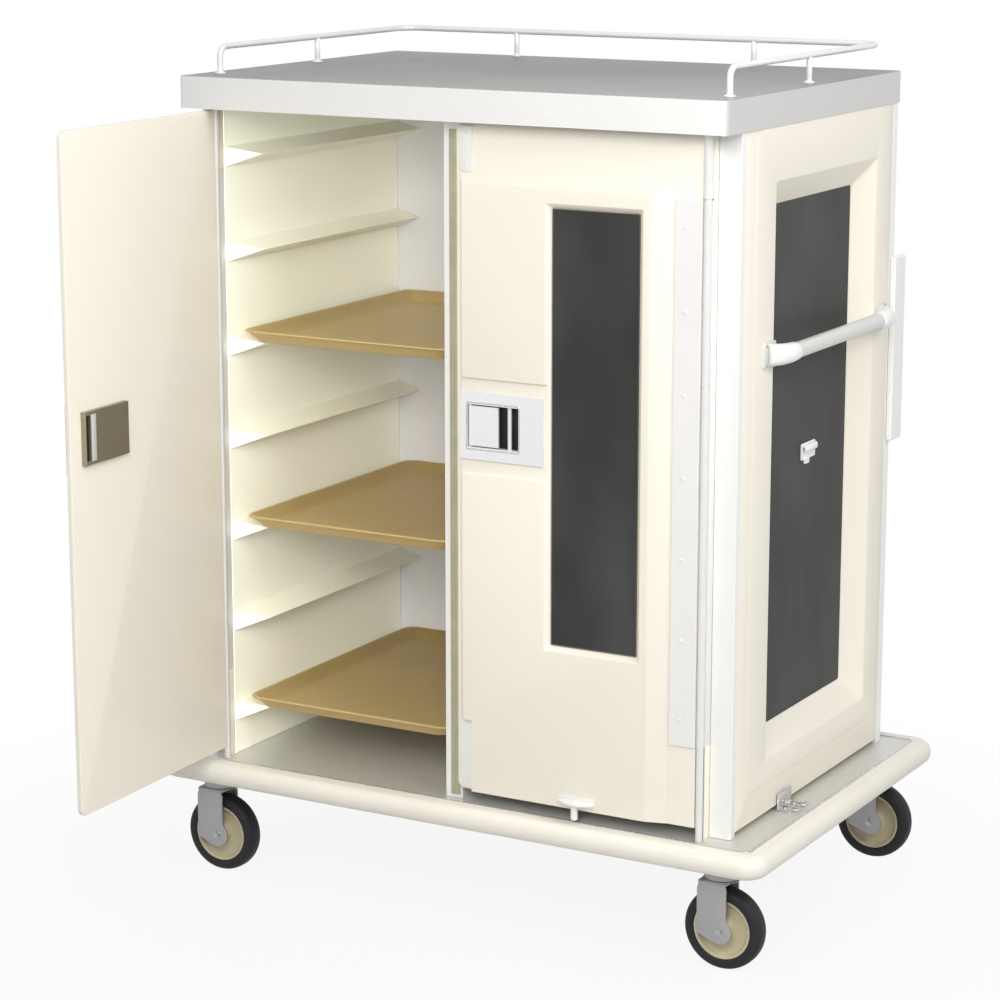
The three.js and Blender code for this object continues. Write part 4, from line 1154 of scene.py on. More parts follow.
# ---- cabinet ----
@dataclass
class Cabinet:
    """The cabinet's shell: posts, side panels, walls, top and stile."""

    raised: float = 1.4 * MM
    edge_across: float = 31.0 * MM
    edge_upright: float = 44.0 * MM
    step_width: float = 7.0 * MM
    window_bevel: float = 51.0 * MM
    window_corner: float = 5.0 * MM
    seal_low: float = -4.5 * MM
    seal_high: float = 11.3 * MM
    seal_depth: float = 2.6 * MM
    fixing_margin: float = 40.0 * MM
    rivets: int = 8

    def build(self) -> None:
        """Builds and dresses the cabinet."""
        dress("top_cap", CAP_STEEL_PAINTED_SHADE, 2.4 * MM, 3)
        dress("rear_panel", CREAM, 0.6 * MM)
        dress("back_liner", BACK_WALL, 1.0 * MM)
        dress("center_stile", FITTING_WHITE, 1.2 * MM)
        dress("divider", CREAM_LINER, 1.6 * MM)
        for side in Side:
            for post in ("post_front", "post_rear"):
                dress(f"{post}_{side.word}", POST_STEEL, 1.4 * MM, 3)
            dress(f"side_inset_{side.word}", PANE, 0.5 * MM)
            dress(f"liner_{side.word}", CREAM_LINER, 1.6 * MM)
            self._side_panel(side)
            self._fixed_leaf(side)
            self._rivets(side)
        self._stile_seal()

    def _side_panel(self, side: Side) -> None:
        """Makes a moulded side panel with a softly raised field and a sloped window.

        Args:
            side: Which side of the cart.
        """
        name = f"side_panel_{side.word}"
        low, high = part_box(name)
        inset_low, inset_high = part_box(f"side_inset_{side.word}")
        outer = high.x if side.sign > 0 else low.x
        inner = low.x if side.sign > 0 else high.x
        full = abs(outer - inner)
        pane = abs(inset_high.x - inset_low.x)
        slope = self.window_bevel * (1 - pane / full)
        window_low = (inset_low.y - slope - 1 * MM, inset_low.z - slope - 1 * MM)
        window_high = (inset_high.y + slope + 1 * MM, inset_high.z + slope + 1 * MM)

        def ring(
            depth: float, y_margin: float, z_margin: float, radius: float, from_window: bool,
        ) -> list[Point]:
            """Returns one ring, measured from the panel's edge or from the window's."""
            a, b = (window_low, window_high) if from_window else ((low.y, low.z), (high.y, high.z))
            x = outer + side.sign * depth
            return rounded_ring(
                lambda y, z: (x, y, z),
                (a[0] + y_margin, a[1] + z_margin), (b[0] - y_margin, b[1] - z_margin), radius,
            )

        up, step, edge, edge_z = self.raised, self.step_width, self.edge_across, self.edge_upright
        corner = self.window_corner
        sunk = full - pane - 2.2 * MM
        run = slope + 1.2 * MM
        rings = [
            ring(-full, 0.0, 0.0, 1 * MM, False), ring(-2 * MM, 0.0, 0.0, 1 * MM, False),
            ring(-0.6 * MM, 0.6 * MM, 0.6 * MM, 2 * MM, False), ring(0.0, 2 * MM, 2 * MM, 3 * MM, False),
            ring(0.0, edge, edge_z, 6 * MM, False),
            ring(up * 0.15, edge + step * 0.25, edge_z + step * 0.25, 8 * MM, False),
            ring(up * 0.85, edge + step * 0.75, edge_z + step * 0.75, 10 * MM, False),
            ring(up, edge + step, edge_z + step, 12 * MM, False),
            ring(up, -2.5 * MM, -2.5 * MM, corner + 2 * MM, True),
            ring(up - 0.5 * MM, -0.8 * MM, -0.8 * MM, corner + 1 * MM, True),
            ring(up - 1.8 * MM, 0.6 * MM, 0.6 * MM, corner, True),
            ring(-sunk, run - 1.2 * MM, run - 1.2 * MM, corner, True),
            ring(-sunk - 1.2 * MM, run, run, corner, True),
            ring(-full, run + 0.4 * MM, run + 0.4 * MM, corner, True),
        ]
        Shape().loft(rings, closed=True).piece(f"side_shell_{side.word}", CREAM, "cart", [name], 38.0)

    def _fixed_leaf(self, side: Side) -> None:
        """Makes the fixed hinge leaf between rod and corner post, and the jamb fins above and below it."""
        leaf_low, leaf_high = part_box("hinge_leaf_right")
        post_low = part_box(f"post_front_{side.word}")[0]
        pivot = joint_place(f"door_{side.word}_swing")
        radius = 6 * MM
        near = pivot.x + side.sign * 2.2 * MM
        far = pivot.x + side.sign * 4.4 * MM
        start = pivot.y + radius + 0.8 * MM
        Shape().block((near, start, leaf_low.z), (far, post_low.y - SEAT, leaf_high.z), 0.5 * MM).piece(
            f"fixed_leaf_{side.word}", STRIP_GREY, "cart",
        )
        liner_low, liner_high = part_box(f"liner_{side.word}")
        fins = Shape()
        for low_z, high_z in ((liner_low.z, leaf_low.z - SEAT), (leaf_high.z + SEAT, liner_high.z)):
            fins.block((near, start + 2 * MM, low_z), (far, post_low.y - SEAT, high_z), 0.5 * MM)
        fins.piece(f"jamb_fins_{side.word}", CREAM, "cart")

    def _rivets(self, side: Side) -> None:
        """Makes the blind rivets that hold the rear panel to its post."""
        low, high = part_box("rear_panel")
        x = (low.x if side.sign < 0 else high.x) - side.sign * 14 * MM
        shape = Shape()
        head = [
            (3.4 * MM, 0.0), (3.2 * MM, 0.5 * MM), (2.3 * MM, 1.0 * MM),
            (1.1 * MM, 1.2 * MM), (0.9 * MM, 0.7 * MM),
        ]
        for z in spread(low.z, high.z, self.fixing_margin, self.rivets):
            shape.lathe((x, high.y + SEAT * 0.3, z), (0, 1, 0), head, 18)
        shape.piece(f"rear_rivets_{side.word}", SCREW_STEEL, "cart")

    def _stile_seal(self) -> None:
        """Makes the seal that the doors close against, a flat strip with two ribs on the stile's face."""
        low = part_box("center_stile")[0]
        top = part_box("top_cap")[0].z - 14 * MM
        face = low.y - 0.05 * MM
        shape = Shape()
        shape.block(
            (self.seal_low, face - self.seal_depth, low.z + 6 * MM), (self.seal_high, face, top), 1.1 * MM, 3,
        )
        for offset in (2.6 * MM, 8.0 * MM):
            x = self.seal_low + offset
            y = face - self.seal_depth
            shape.rod((x, y, low.z + 8 * MM), (x, y, top - 2 * MM), 0.9 * MM)
        shape.piece("stile_seal", SEAL, "cart")


@dataclass
class TopRail:
    """The guard rail round three sides of the top."""

    radius: float = 4.75 * MM
    front_bend: float = 16.0 * MM
    rear_bend: float = 30.0 * MM
    post_span: float = 436.0 * MM
    foot: float = 9.0 * MM

    def build(self) -> None:
        """Bends the rail and stands it on its posts."""
        low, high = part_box("top_rail")
        x = high.x - 9.0 * MM
        front = low.y + 9.0 * MM
        rear = high.y - self.radius
        level = high.z - self.radius
        base = low.z
        corners = [
            (-x, front, base), (-x, front, level), (-x, rear, level),
            (x, rear, level), (x, front, level), (x, front, base),
        ]
        shape = Shape()
        path = bent_path(corners, [self.front_bend, self.rear_bend, self.rear_bend, self.front_bend], 10)
        shape.sweep(path, self.radius, 20)
        middle = (front + rear) / 2
        half = self.post_span / 2
        for place in ((-x, middle), (x, middle), (-half, rear), (half, rear)):
            shape.rod((*place, base), (*place, level), self.radius * 0.94, 0.3 * MM, 20)
        for place in ((-x, front), (x, front), (-x, middle), (x, middle), (-half, rear), (half, rear)):
            shape.lathe(
                (*place, base), (0, 0, 1),
                [(self.foot, 0.0), (self.foot, 1.0 * MM), (self.foot - 0.8 * MM, 1.6 * MM),
                 (self.radius + 1.2 * MM, 2.0 * MM), (self.radius + 0.4 * MM, 3.2 * MM),
                 (self.radius * 0.9, 4.6 * MM)],
                28,
            )
        shape.piece("guard_rail", RAIL_WHITE, "cart", ["top_rail"], 45.0)


@dataclass
class SideFittings:
    """What is fixed to one side: push handle, guard bar, deck catch and card clip."""

    side: Side
    plate: float = 40.0 * MM
    plate_thickness: float = 5.0 * MM
    tube: float = 12.0 * MM
    sleeve_wide: float = 18.0 * MM
    sleeve_long: float = 44.0 * MM
    screw_offset: float = 14.5 * MM
    ring_steps: int = 28
    eye_offset: float = 14.0 * MM
    catch_sheet: float = 2.0 * MM

    def build(self) -> None:
        """Builds and dresses this side's fittings."""
        self._handle()
        dress(f"guard_bar_{self.side.word}", FITTING_WHITE, 3.0 * MM, 3)
        self._catch()
        if self.side is Side.RIGHT:
            self._clip()

    def _handle(self) -> None:
        """Makes the tube, and a tapered sleeve and a screwed plate at each end."""
        name = f"push_handle_{self.side.word}"
        low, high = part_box(name)
        sign = self.side.sign
        face = low.x if sign > 0 else high.x
        reach = (high.x if sign > 0 else low.x) - sign * self.tube
        level = (low.z + high.z) / 2
        ends = (low.y + self.plate / 2, high.y - self.plate / 2)
        shape, plates, screws = Shape(), Shape(), Shape()
        half = self.plate / 2
        for y, inward in zip(ends, (1, -1)):
            plate = rounded_ring(
                lambda a, b: (face, a, b), (y - half, level - half), (y + half, level + half), 5 * MM,
            )
            plates.prism(plate, (sign * self.plate_thickness, 0, 0), 0.9 * MM)
            elbow = y + inward * self.sleeve_long
            stations = [
                (face + sign * 3 * MM, y - inward * 5 * MM,
                 self.sleeve_wide - 3 * MM, self.sleeve_wide - 2 * MM),
                (face + (reach - face) * 0.45, y + inward * 2 * MM,
                 self.sleeve_wide - 1.5 * MM, self.sleeve_wide - 1.5 * MM),
                (face + (reach - face) * 0.85, y + inward * 15 * MM, 15.6 * MM, 15.6 * MM),
                (reach, elbow - inward * 14 * MM, 15 * MM, 15 * MM),
                (reach, elbow, 14.2 * MM, 14.2 * MM),
                (reach, elbow + inward * 6 * MM, 13.6 * MM, 13.6 * MM),
                (reach, elbow + inward * 7 * MM, 12.6 * MM, 12.6 * MM),
            ]
            rings = []
            for index, (x, along, wide, tall) in enumerate(stations):
                previous = stations[max(index - 1, 0)]
                following = stations[min(index + 1, len(stations) - 1)]
                run = Vector((following[0] - previous[0], following[1] - previous[1], 0)).normalized()
                across = Vector((-run.y, run.x, 0))
                ring = []
                for step in range(self.ring_steps):
                    angle = math.tau * step / self.ring_steps
                    offset = across * (wide * math.cos(angle)) + Vector((0, 0, tall * math.sin(angle)))
                    ring.append(Vector((x, along, level)) + offset)
                rings.append(ring)
            shape.loft(rings)
            for corner_z in (-1, 1):
                place = (
                    face + sign * self.plate_thickness,
                    y - inward * self.screw_offset, level + corner_z * self.screw_offset,
                )
                screw(screws, place, (sign, 0, 0), 2.6 * MM)
        start = ends[0] + self.sleeve_long - 6 * MM
        end = ends[1] - self.sleeve_long + 6 * MM
        grip = Shape()
        grip.rod((reach, start, level), (reach, end, level), self.tube, 0.6 * MM, 32)
        grip.piece(f"handle_grip_{self.side.word}", HANDLE_STEEL, "cart", [name], 40.0)
        shape.piece(f"handle_sleeves_{self.side.word}", FITTING_WHITE, "cart", (), 40.0)
        plates.piece(f"handle_plates_{self.side.word}", HANDLE_STEEL, "cart")
        screws.piece(f"handle_screws_{self.side.word}", SCREW_STEEL, "cart")

    def _catch(self) -> None:
        """Makes the door catch on the deck: a folded plate with two wire eyes."""
        name = f"deck_catch_{self.side.word}"
        low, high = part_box(name)
        sign = self.side.sign
        wall = low.x if sign > 0 else high.x
        tip = high.x if sign > 0 else low.x
        shape = Shape()
        sheet = self.catch_sheet
        shape.block((wall, low.y, low.z), (tip - sign * 13 * MM, high.y, low.z + sheet), 0.6 * MM)
        shape.block((wall, low.y, low.z), (wall + sign * sheet, high.y, high.z), 0.6 * MM)
        middle = (low.y + high.y) / 2
        for end in (-1, 1):
            y = middle + end * self.eye_offset
            root, far = tip - sign * 20 * MM, tip - sign * 3 * MM
            eye = [
                (root, y - 7 * MM, low.z + 3.6 * MM), (far, y - 7 * MM, low.z + 5 * MM),
                (far, y + 7 * MM, low.z + 5 * MM), (root, y + 7 * MM, low.z + 3.6 * MM),
            ]
            shape.sweep(bent_path(eye, [5 * MM, 5 * MM], 8), 1.6 * MM, 12)
            screw(shape, (wall + sign * 10 * MM, middle + end * 16 * MM, low.z + sheet), (0, 0, 1), 3.0 * MM)
        shape.block(
            (wall + sign * sheet, middle - 4 * MM, low.z + sheet),
            (wall + sign * 12 * MM, middle + 4 * MM, low.z + 12 * MM), 1.2 * MM,
        )
        shape.piece(f"catch_bracket_{self.side.word}", TRACK_STEEL, "cart", [name])

    def _clip(self) -> None:
        """Makes the card clip: a back plate with a curled jaw and a release tab."""
        low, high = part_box("card_clip")
        width = high.y - low.y
        shape = Shape()
        back = rounded_ring(
            lambda y, z: (low.x, y, z), (low.y, low.z + 7 * MM), (high.y, high.z), 2.5 * MM,
        )
        shape.prism(back, (2.4 * MM, 0, 0), 0.6 * MM)
        jaw = [
            (low.x + 2 * MM, high.z - 2 * MM), (low.x + 6 * MM, high.z - 2.5 * MM), (high.x, high.z - 6 * MM),
            (high.x, high.z - 11 * MM), (high.x - 2 * MM, high.z - 14 * MM),
            (high.x - 3.4 * MM, high.z - 13 * MM), (high.x - 1.8 * MM, high.z - 10.5 * MM),
            (high.x - 2 * MM, high.z - 7 * MM), (low.x + 5 * MM, high.z - 5 * MM),
            (low.x + 2 * MM, high.z - 5 * MM),
        ]
        inset = 3 * MM
        shape.prism([(x, low.y + inset, z) for x, z in jaw], (0, width - 2 * inset, 0), 0.4 * MM)
        tab = rounded_ring(
            lambda y, z: (low.x + 0.4 * MM, y, z),
            (low.y + width * 0.2, low.z), (low.y + width * 0.55, low.z + 12 * MM), 3 * MM,
        )
        shape.prism(tab, (3.2 * MM, 0, 0), 0.7 * MM)
        shape.piece("clip_jaw", FITTING_WHITE, "cart", ["card_clip"])


# ---- doors, in a frame whose Z axis is the hinge ----
@dataclass
class Door:
    """One door with its hinge, skin, window, latch and trims."""

    side: Side
    open_angle: float
    strip_width: float = 23.0 * MM
    strip_top: float = 112.0 * MM
    free_draft: float = 8.0 * MM
    hinge_draft: float = 34.0 * MM
    top_draft: float = 14.0 * MM
    cup_half: float = 34.8 * MM
    room_start: float = 39.7 * MM
    room_end: float = 131.3 * MM
    case_wall: float = 2.0 * MM
    case_slot: float = 7.4 * MM
    slot_width: float = 11.0 * MM
    sheet_front: float = 4.0 * MM
    sheet_corner: float = 12.0 * MM
    tab_low: float = 167.0 * MM
    tab_high: float = 228.0 * MM
    recess_start: float = 250.0 * MM
    recess_half: float = 73.0 * MM
    recess_depth: float = 5.0 * MM
    notch_height: float = 114.0 * MM
    window_slope: float = 8.0 * MM
    cup_low: float = 299.0 * MM
    cup_high: float = 390.0 * MM
    cup_wall: float = 2.0 * MM
    knuckles: int = 3
    leaf_screws: int = 7
    fixing_margin: float = 40.0 * MM

    def build(self) -> None:
        """Builds and dresses the door."""
        word = self.side.word
        self.pivot = joint_place(f"door_{word}_swing")
        shift = Matrix.Translation((self.pivot.x, self.pivot.y, 0))
        self.matrix = shift @ Matrix.Rotation(self.open_angle, 4, "Z")
        self.way = -self.side.sign
        self._panel()
        self._skin()
        dress(f"door_inset_{word}", PANE, 0.5 * MM)
        dress(f"hinge_leaf_{word}", STRIP_GREY, 0.6 * MM)
        dress(f"latch_bezel_{word}", BEZEL_STEEL, 0.7 * MM)
        dress(f"latch_paddle_{word}", BEZEL_STEEL, 0.8 * MM)
        dress(f"latch_case_{word}", LATCH_STEEL, 1.0 * MM)
        dress(f"latch_cam_{word}", DARK_CAM_AND_PAINTED_SHADE, 0.6 * MM)
        self._rod()
        self._leaf_screws()
        self._corner_strips()
        self._cup()
        self._case_trim()
        self._window_bead()

    def _local(self, node: str) -> tuple[Vector, Vector]:
        """Returns a node's box from the hinge axis, as u along the door, y and z.

        Args:
            node: The node's name without its side.

        Returns:
            The lowest and highest corner. They are read from the right door, which is shut at rest.
        """
        low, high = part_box(f"{node}_right")
        pivot = joint_place("door_right_swing")
        return (
            Vector((pivot.x - high.x, low.y - pivot.y, low.z)),
            Vector((pivot.x - low.x, high.y - pivot.y, high.z)),
        )

    def _at(self, u: float, y: float, z: float) -> Vector:
        """Returns a point of the door's own frame from u, y and z."""
        return Vector((self.way * u, y, z))

    def _end(
        self, shape: Shape, name: str, finish: Finish, node: str = "", smooth_angle: float = 40.0,
    ) -> None:
        """Ends a shape as a piece of this door.

        Args:
            shape: The shape.
            name: The piece's name without its side.
            finish: Its finish.
            node: The CAD node that it stands for without its side, or nothing.
            smooth_angle: Edges sharper than this many degrees stay sharp.
        """
        word = self.side.word
        replaces = [f"{node}_{word}"] if node else ()
        shape.piece(f"{name}_{word}", finish, f"door_{word}", replaces, smooth_angle)

    def _panel(self) -> None:
        """Makes the door's flat sheet with its rounded corners, and then its catch tab."""
        low, high = self._local("door_panel")
        sheet_low = -self.sheet_front
        sheet_high = high.y
        start = low.x
        bottom = self._local("door_skin")[0].z
        radius = self.sheet_corner
        outline = [self._at(start, sheet_low, bottom)]
        for centre_z, first in ((bottom + radius, -90), (high.z - radius, 0)):
            for step in range(9):
                angle = math.radians(first + 90 * step / 8)
                u = high.x - radius + radius * math.cos(angle)
                outline.append(self._at(u, sheet_low, centre_z + radius * math.sin(angle)))
        outline.append(self._at(start, sheet_low, high.z))
        sheet = Shape(self.matrix)
        sheet.prism(outline, (0, sheet_high - sheet_low, 0), 1.2 * MM, 3)
        sheet.cut(self._cup_room(sheet_low - 1 * MM, 1.3 * MM))
        self._end(sheet, "door_sheet", CREAM, "door_panel")
        self._catch_tab(low, bottom)

    def _catch_tab(self, low: Vector, bottom: float) -> None:
        """Makes the tab below the door's skin, with its hanging pin.

        Args:
            low: The lowest corner of the CAD panel's box, which holds the tab and the pin.
            bottom: The level of the skin's lower edge.
        """
        tab = Shape(self.matrix)
        tab_low, tab_high = self.tab_low, self.tab_high
        middle = (tab_low + tab_high) / 2
        foot, level = self._local("door_skin")[0].y, bottom + 11 * MM
        tab.prism(
            [
                self._at(tab_low, foot, level), self._at(tab_low, foot - 7 * MM, level),
                self._at(middle - 11 * MM, low.y, level), self._at(middle + 11 * MM, low.y, level),
                self._at(tab_high, foot - 7 * MM, level), self._at(tab_high, foot, level),
            ],
            (0, 0, 3 * MM), 0.6 * MM,
        )
        tab.block(
            self._at(tab_low, foot - 0.2 * MM, level - 3 * MM),
            self._at(tab_high, foot - 2.2 * MM, level + 11 * MM), 0.7 * MM,
        )
        pin_y = low.y + 9 * MM
        tab.rod(self._at(middle, pin_y, low.z), self._at(middle, pin_y, level + 5 * MM), 5.4 * MM, 0.9 * MM)
        collar = (self._at(middle, pin_y, level + 2.8 * MM), self._at(middle, pin_y, level + 4 * MM))
        tab.rod(*collar, 7.4 * MM, 0.3 * MM)
        self._end(tab, "catch_tab", STRIP_GREY)

    def _cup_room(self, near: float, far: float) -> Shape:
        """Returns the cutter that makes room for the latch cup between two depths."""
        low, high = self._local("latch_bezel")
        middle = (low.z + high.z) / 2
        return Shape().block(
            self._at(low.x + self.room_start, near, middle - self.cup_half),
            self._at(low.x + self.room_end, far, middle + self.cup_half), 0.0,
        )

    def _skin(self) -> None:
        """Makes the raised skin: soft sloped edges, sloped window, latch recess and a notch at its foot."""
        low, high = self._local("door_skin")
        pane_low, pane_high = self._local("door_inset")
        bezel_low, bezel_high = self._local("latch_bezel")
        slope = self.window_slope

        def ring(y: float, left: float, right: float, bottom: float, top: float) -> list[Point]:
            """Returns a rectangle at a depth."""
            corners = ((left, bottom), (right, bottom), (right, top), (left, top))
            return [self._at(u, y, z) for u, z in corners]

        def window(pad: float) -> Shape:
            """Returns the window's cutter, which widens towards the front."""
            grow = pad / (high.y - low.y)
            left, right = pane_low.x - SEAT, pane_high.x + SEAT
            bottom, top = pane_low.z - SEAT, pane_high.z + SEAT
            back, front = slope * grow, slope * (1 + grow)
            return Shape().loft([
                ring(high.y + pad, left + back, right - back, bottom + back, top - back),
                ring(low.y - pad, left - front, right + front, bottom - front, top + front),
            ])

        shape = Shape(self.matrix)
        shape.loft([
            ring(high.y, low.x, high.x, low.z, high.z),
            ring(low.y, low.x + self.hinge_draft, high.x - self.free_draft, low.z, high.z - self.top_draft),
        ])
        shape.cut(window(1 * MM))
        middle = (bezel_low.z + bezel_high.z) / 2
        recess = Shape().block(
            self._at(self.recess_start, low.y - 1 * MM, middle - self.recess_half),
            self._at(high.x + 1 * MM, low.y + self.recess_depth, middle + self.recess_half), 0.0,
        )
        shape.cut(recess)
        notch = Shape().block(
            self._at(high.x - self.strip_width, low.y - 1 * MM, low.z - 1 * MM),
            self._at(high.x + 1 * MM, high.y + 1 * MM, low.z + self.notch_height), 0.0,
        )
        shape.cut(notch)
        shape.cut(self._cup_room(low.y, high.y + 1 * MM))
        shape.rounded(1.0 * MM, 3, 12.0)
        self._end(shape, "door_face", CREAM, "door_skin")

    def _rod(self) -> None:
        """Turns the hinge rod with its knuckles and the sleeve above its leaf."""
        low, high = self._local("hinge_rod")
        leaf_low, leaf_high = self._local("hinge_leaf")
        radius = (high.y - low.y) / 2
        slim = radius - 0.6 * MM
        profile = [(slim - 0.6 * MM, low.z), (slim, low.z + 0.6 * MM)]
        length = (leaf_high.z - leaf_low.z) / self.knuckles
        for index in range(self.knuckles):
            start = leaf_low.z + index * length + 1.2 * MM
            end = start + length - 2.4 * MM
            profile += [(slim, start), (radius, start + 0.4 * MM), (radius, end - 0.4 * MM), (slim, end)]
        profile += [(slim, high.z - 0.6 * MM), (slim - 0.6 * MM, high.z)]
        shape = Shape(self.matrix)
        shape.lathe((0, 0, 0), (0, 0, 1), profile, 32)
        shape.rod((0, 0, leaf_high.z + 3 * MM), (0, 0, high.z - 8 * MM), radius + 1.2 * MM, 0.6 * MM, 32)
        self._end(shape, "hinge_pin", ROD_STEEL, "hinge_rod", 35.0)

    def _leaf_screws(self) -> None:
        """Makes the screws of the hinge leaf."""
        low, high = self._local("hinge_leaf")
        shape = Shape(self.matrix)
        for z in spread(low.z, high.z, self.fixing_margin, self.leaf_screws):
            screw(shape, self._at((low.x + high.x) / 2 + 4 * MM, low.y, z), (0, -1, 0), 2.8 * MM)
        self._end(shape, "leaf_screws", STRIP_GREY)

    def _corner_strips(self) -> None:
        """Makes the grey plates in the free edge's upper and lower corners."""
        panel_high = self._local("door_panel")[1]
        skin_low, skin_high = self._local("door_skin")
        sheet = self._local("door_inset")[1].y
        u1 = skin_high.x
        u0 = u1 - self.strip_width
        shape = Shape(self.matrix)
        front = sheet - 2.2 * MM
        lower = (skin_low.z + 3 * MM, skin_low.z + self.strip_top)
        upper = (skin_high.z + 3 * MM, panel_high.z - 4 * MM)
        for low_z, high_z in (lower, upper):
            shape.block(self._at(u0 + 1.5 * MM, front, low_z), self._at(u1, sheet, high_z), 0.8 * MM)
            for share in (0.15, 0.85):
                place = self._at((u0 + u1) / 2, front, low_z + (high_z - low_z) * share)
                screw(shape, place, (0, -1, 0), 2.4 * MM)
        self._end(shape, "corner_strips", STRIP_GREY)

    def _cup(self) -> None:
        """Makes a thin dark sheet at the back of the latch cup as painted shade, its bright lip and the
        upright bar beside the paddle.
        """
        low, high = self._local("latch_bezel")
        paddle_low, paddle_high = self._local("latch_paddle")
        front = low.y
        u0, u1 = self.cup_low, self.cup_high
        z0, z1 = paddle_low.z - 2.2 * MM, paddle_high.z + 2.2 * MM
        wall = self.cup_wall
        back = high.y - wall
        # Painted shade: a thin dark sheet at the back of the cup, where the recess is in shade.
        shade_sheet = Shape(self.matrix)
        shade_sheet.block(
            self._at(u0 + wall + 0.4 * MM, back - 0.7 * MM, z0 + 0.6 * MM),
            self._at(u1 - wall - 0.4 * MM, back - 0.1 * MM, z1 - 0.6 * MM), 0.2 * MM,
        )
        self._end(shade_sheet, "cup_painted_shade", DARK_CAM_AND_PAINTED_SHADE)
        lip = Shape(self.matrix)
        outer_low, outer_high = (u0 - 0.7 * MM, z0 - 2.4 * MM), (u1 + 0.7 * MM, z1 + 2.4 * MM)
        inner_low, inner_high = (u0 + wall, z0 - 0.1 * MM), (u1 - wall, z1 + 0.1 * MM)

        def ring(y: float, margin: float, inner: bool) -> list[Point]:
            """Returns one ring of the lip."""
            a, b = (inner_low, inner_high) if inner else (outer_low, outer_high)
            return rounded_ring(
                lambda u, z: self._at(u, y, z),
                (a[0] + margin, a[1] + margin), (b[0] - margin, b[1] - margin), 3 * MM,
            )

        lip.loft(
            [
                ring(front + 0.1 * MM, 0.0, False), ring(front - 0.5 * MM, 0.3 * MM, False),
                ring(front - 0.9 * MM, 1.0 * MM, False), ring(front - 0.9 * MM, -0.6 * MM, True),
                ring(front - 0.4 * MM, 0.0, True), ring(front + 0.1 * MM, 0.0, True),
            ],
            closed=True,
        )
        self._end(lip, "cup_lip", TRACK_STEEL, smooth_angle=50.0)
        bar = Shape(self.matrix)
        bar_u = (u0 + wall + paddle_low.x) / 2
        bar_y = front + 5.5 * MM
        bar.rod(self._at(bar_u, bar_y, z0 + 1 * MM), self._at(bar_u, bar_y, z1 - 1 * MM), 3.4 * MM)
        self._end(bar, "cup_bar", ROD_STEEL)

    def _case_trim(self) -> None:
        """Makes the bright lip beside the cam's slot, and a thin dark sheet on the slot's floor as painted
        shade.
        """
        low, high = self._local("latch_case")
        slot = high.x - self.case_wall - self.slot_width
        shape = Shape(self.matrix)
        shape.block(
            self._at(slot - 12 * MM, high.y + 0.05 * MM, low.z + 5 * MM),
            self._at(slot - 0.6 * MM, high.y + 1.3 * MM, high.z - 5 * MM), 0.5 * MM,
        )
        self._end(shape, "case_lip", ROD_STEEL)
        # Painted shade: a thin dark sheet on the slot's floor.
        floor = high.y - self.case_slot
        shade_sheet = Shape(self.matrix)
        shade_sheet.block(
            self._at(slot + 0.4 * MM, floor + 0.02 * MM, low.z + 12 * MM),
            self._at(slot + 10.6 * MM, floor + 0.3 * MM, high.z - 12 * MM), 0.1 * MM,
        )
        self._end(shade_sheet, "slot_painted_shade", DARK_CAM_AND_PAINTED_SHADE)

    def _window_bead(self) -> None:
        """Makes the thin bead that holds the dark pane in the door's skin."""
        low, high = self._local("door_inset")
        width, rise = 1.3 * MM, 0.6 * MM

        def ring(y: float, margin: float) -> list[Point]:
            """Returns one ring of the bead."""
            return rounded_ring(
                lambda u, z: self._at(u, y, z),
                (low.x + margin, low.z + margin), (high.x - margin, high.z - margin), 1.5 * MM,
            )

        face = low.y - 0.05 * MM
        shape = Shape(self.matrix)
        inner, outer = ring(face - rise, 0.3 * MM), ring(face - rise, width - 0.5 * MM)
        shape.loft([ring(face, 0.0), inner, outer, ring(face, width)], closed=True)
        self._end(shape, "pane_bead", PANE_SEAL)


# ---- trays ----
@dataclass
class MealTray:
    """One pressed meal tray with a rolled rim."""

    level: int
    sheet: float = 2.6 * MM
    flare: float = 15.0 * MM
    corner: float = 22.0 * MM
    rim: float = 5.0 * MM

    def build(self) -> None:
        """Lofts the tray from its well to its rim."""
        name = f"tray_{self.level}"
        low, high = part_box(name)
        height = high.z - low.z
        rim_top = high.z

        def ring(z: float, margin: float, radius: float) -> list[Point]:
            """Returns one rounded outline of the tray."""
            return rounded_ring(
                lambda x, y: (x, y, z),
                (low.x + margin, low.y + margin), (high.x - margin, high.y - margin), radius, 8,
            )

        flare, corner, rim, sheet = self.flare, self.corner, self.rim, self.sheet
        outside = [
            ring(low.z, flare + 4 * MM, corner - 4 * MM),
            ring(low.z + 0.6 * MM, flare + 1.4 * MM, corner - 1.4 * MM),
            ring(low.z + 2.5 * MM, flare, corner), ring(low.z + height * 0.72, rim + 0.6 * MM, corner),
            ring(rim_top - 3.0 * MM, rim * 0.7, corner), ring(rim_top - 2.8 * MM, 0.4 * MM, corner),
            ring(rim_top - 1.8 * MM, 0.0, corner), ring(rim_top - 0.6 * MM, 0.3 * MM, corner),
            ring(rim_top, 1.2 * MM, corner),
        ]
        inside = [
            ring(rim_top, rim - 0.6 * MM, corner), ring(rim_top - 0.8 * MM, rim + 0.6 * MM, corner),
            ring(low.z + height * 0.6, rim + 0.6 * MM + sheet + 1 * MM, corner),
            ring(low.z + sheet + 2.4 * MM, flare + sheet, corner - 1 * MM),
            ring(low.z + sheet + 0.5 * MM, flare + sheet + 2 * MM, corner - 3 * MM),
            ring(low.z + sheet, flare + sheet + 6 * MM, corner - 7 * MM),
            ring(low.z + sheet, flare + sheet + 40 * MM, 6 * MM),
        ]
        Shape().loft(outside + inside).piece(f"meal_{name}", TRAY, f"tray_level_{self.level}", [name], 50.0)


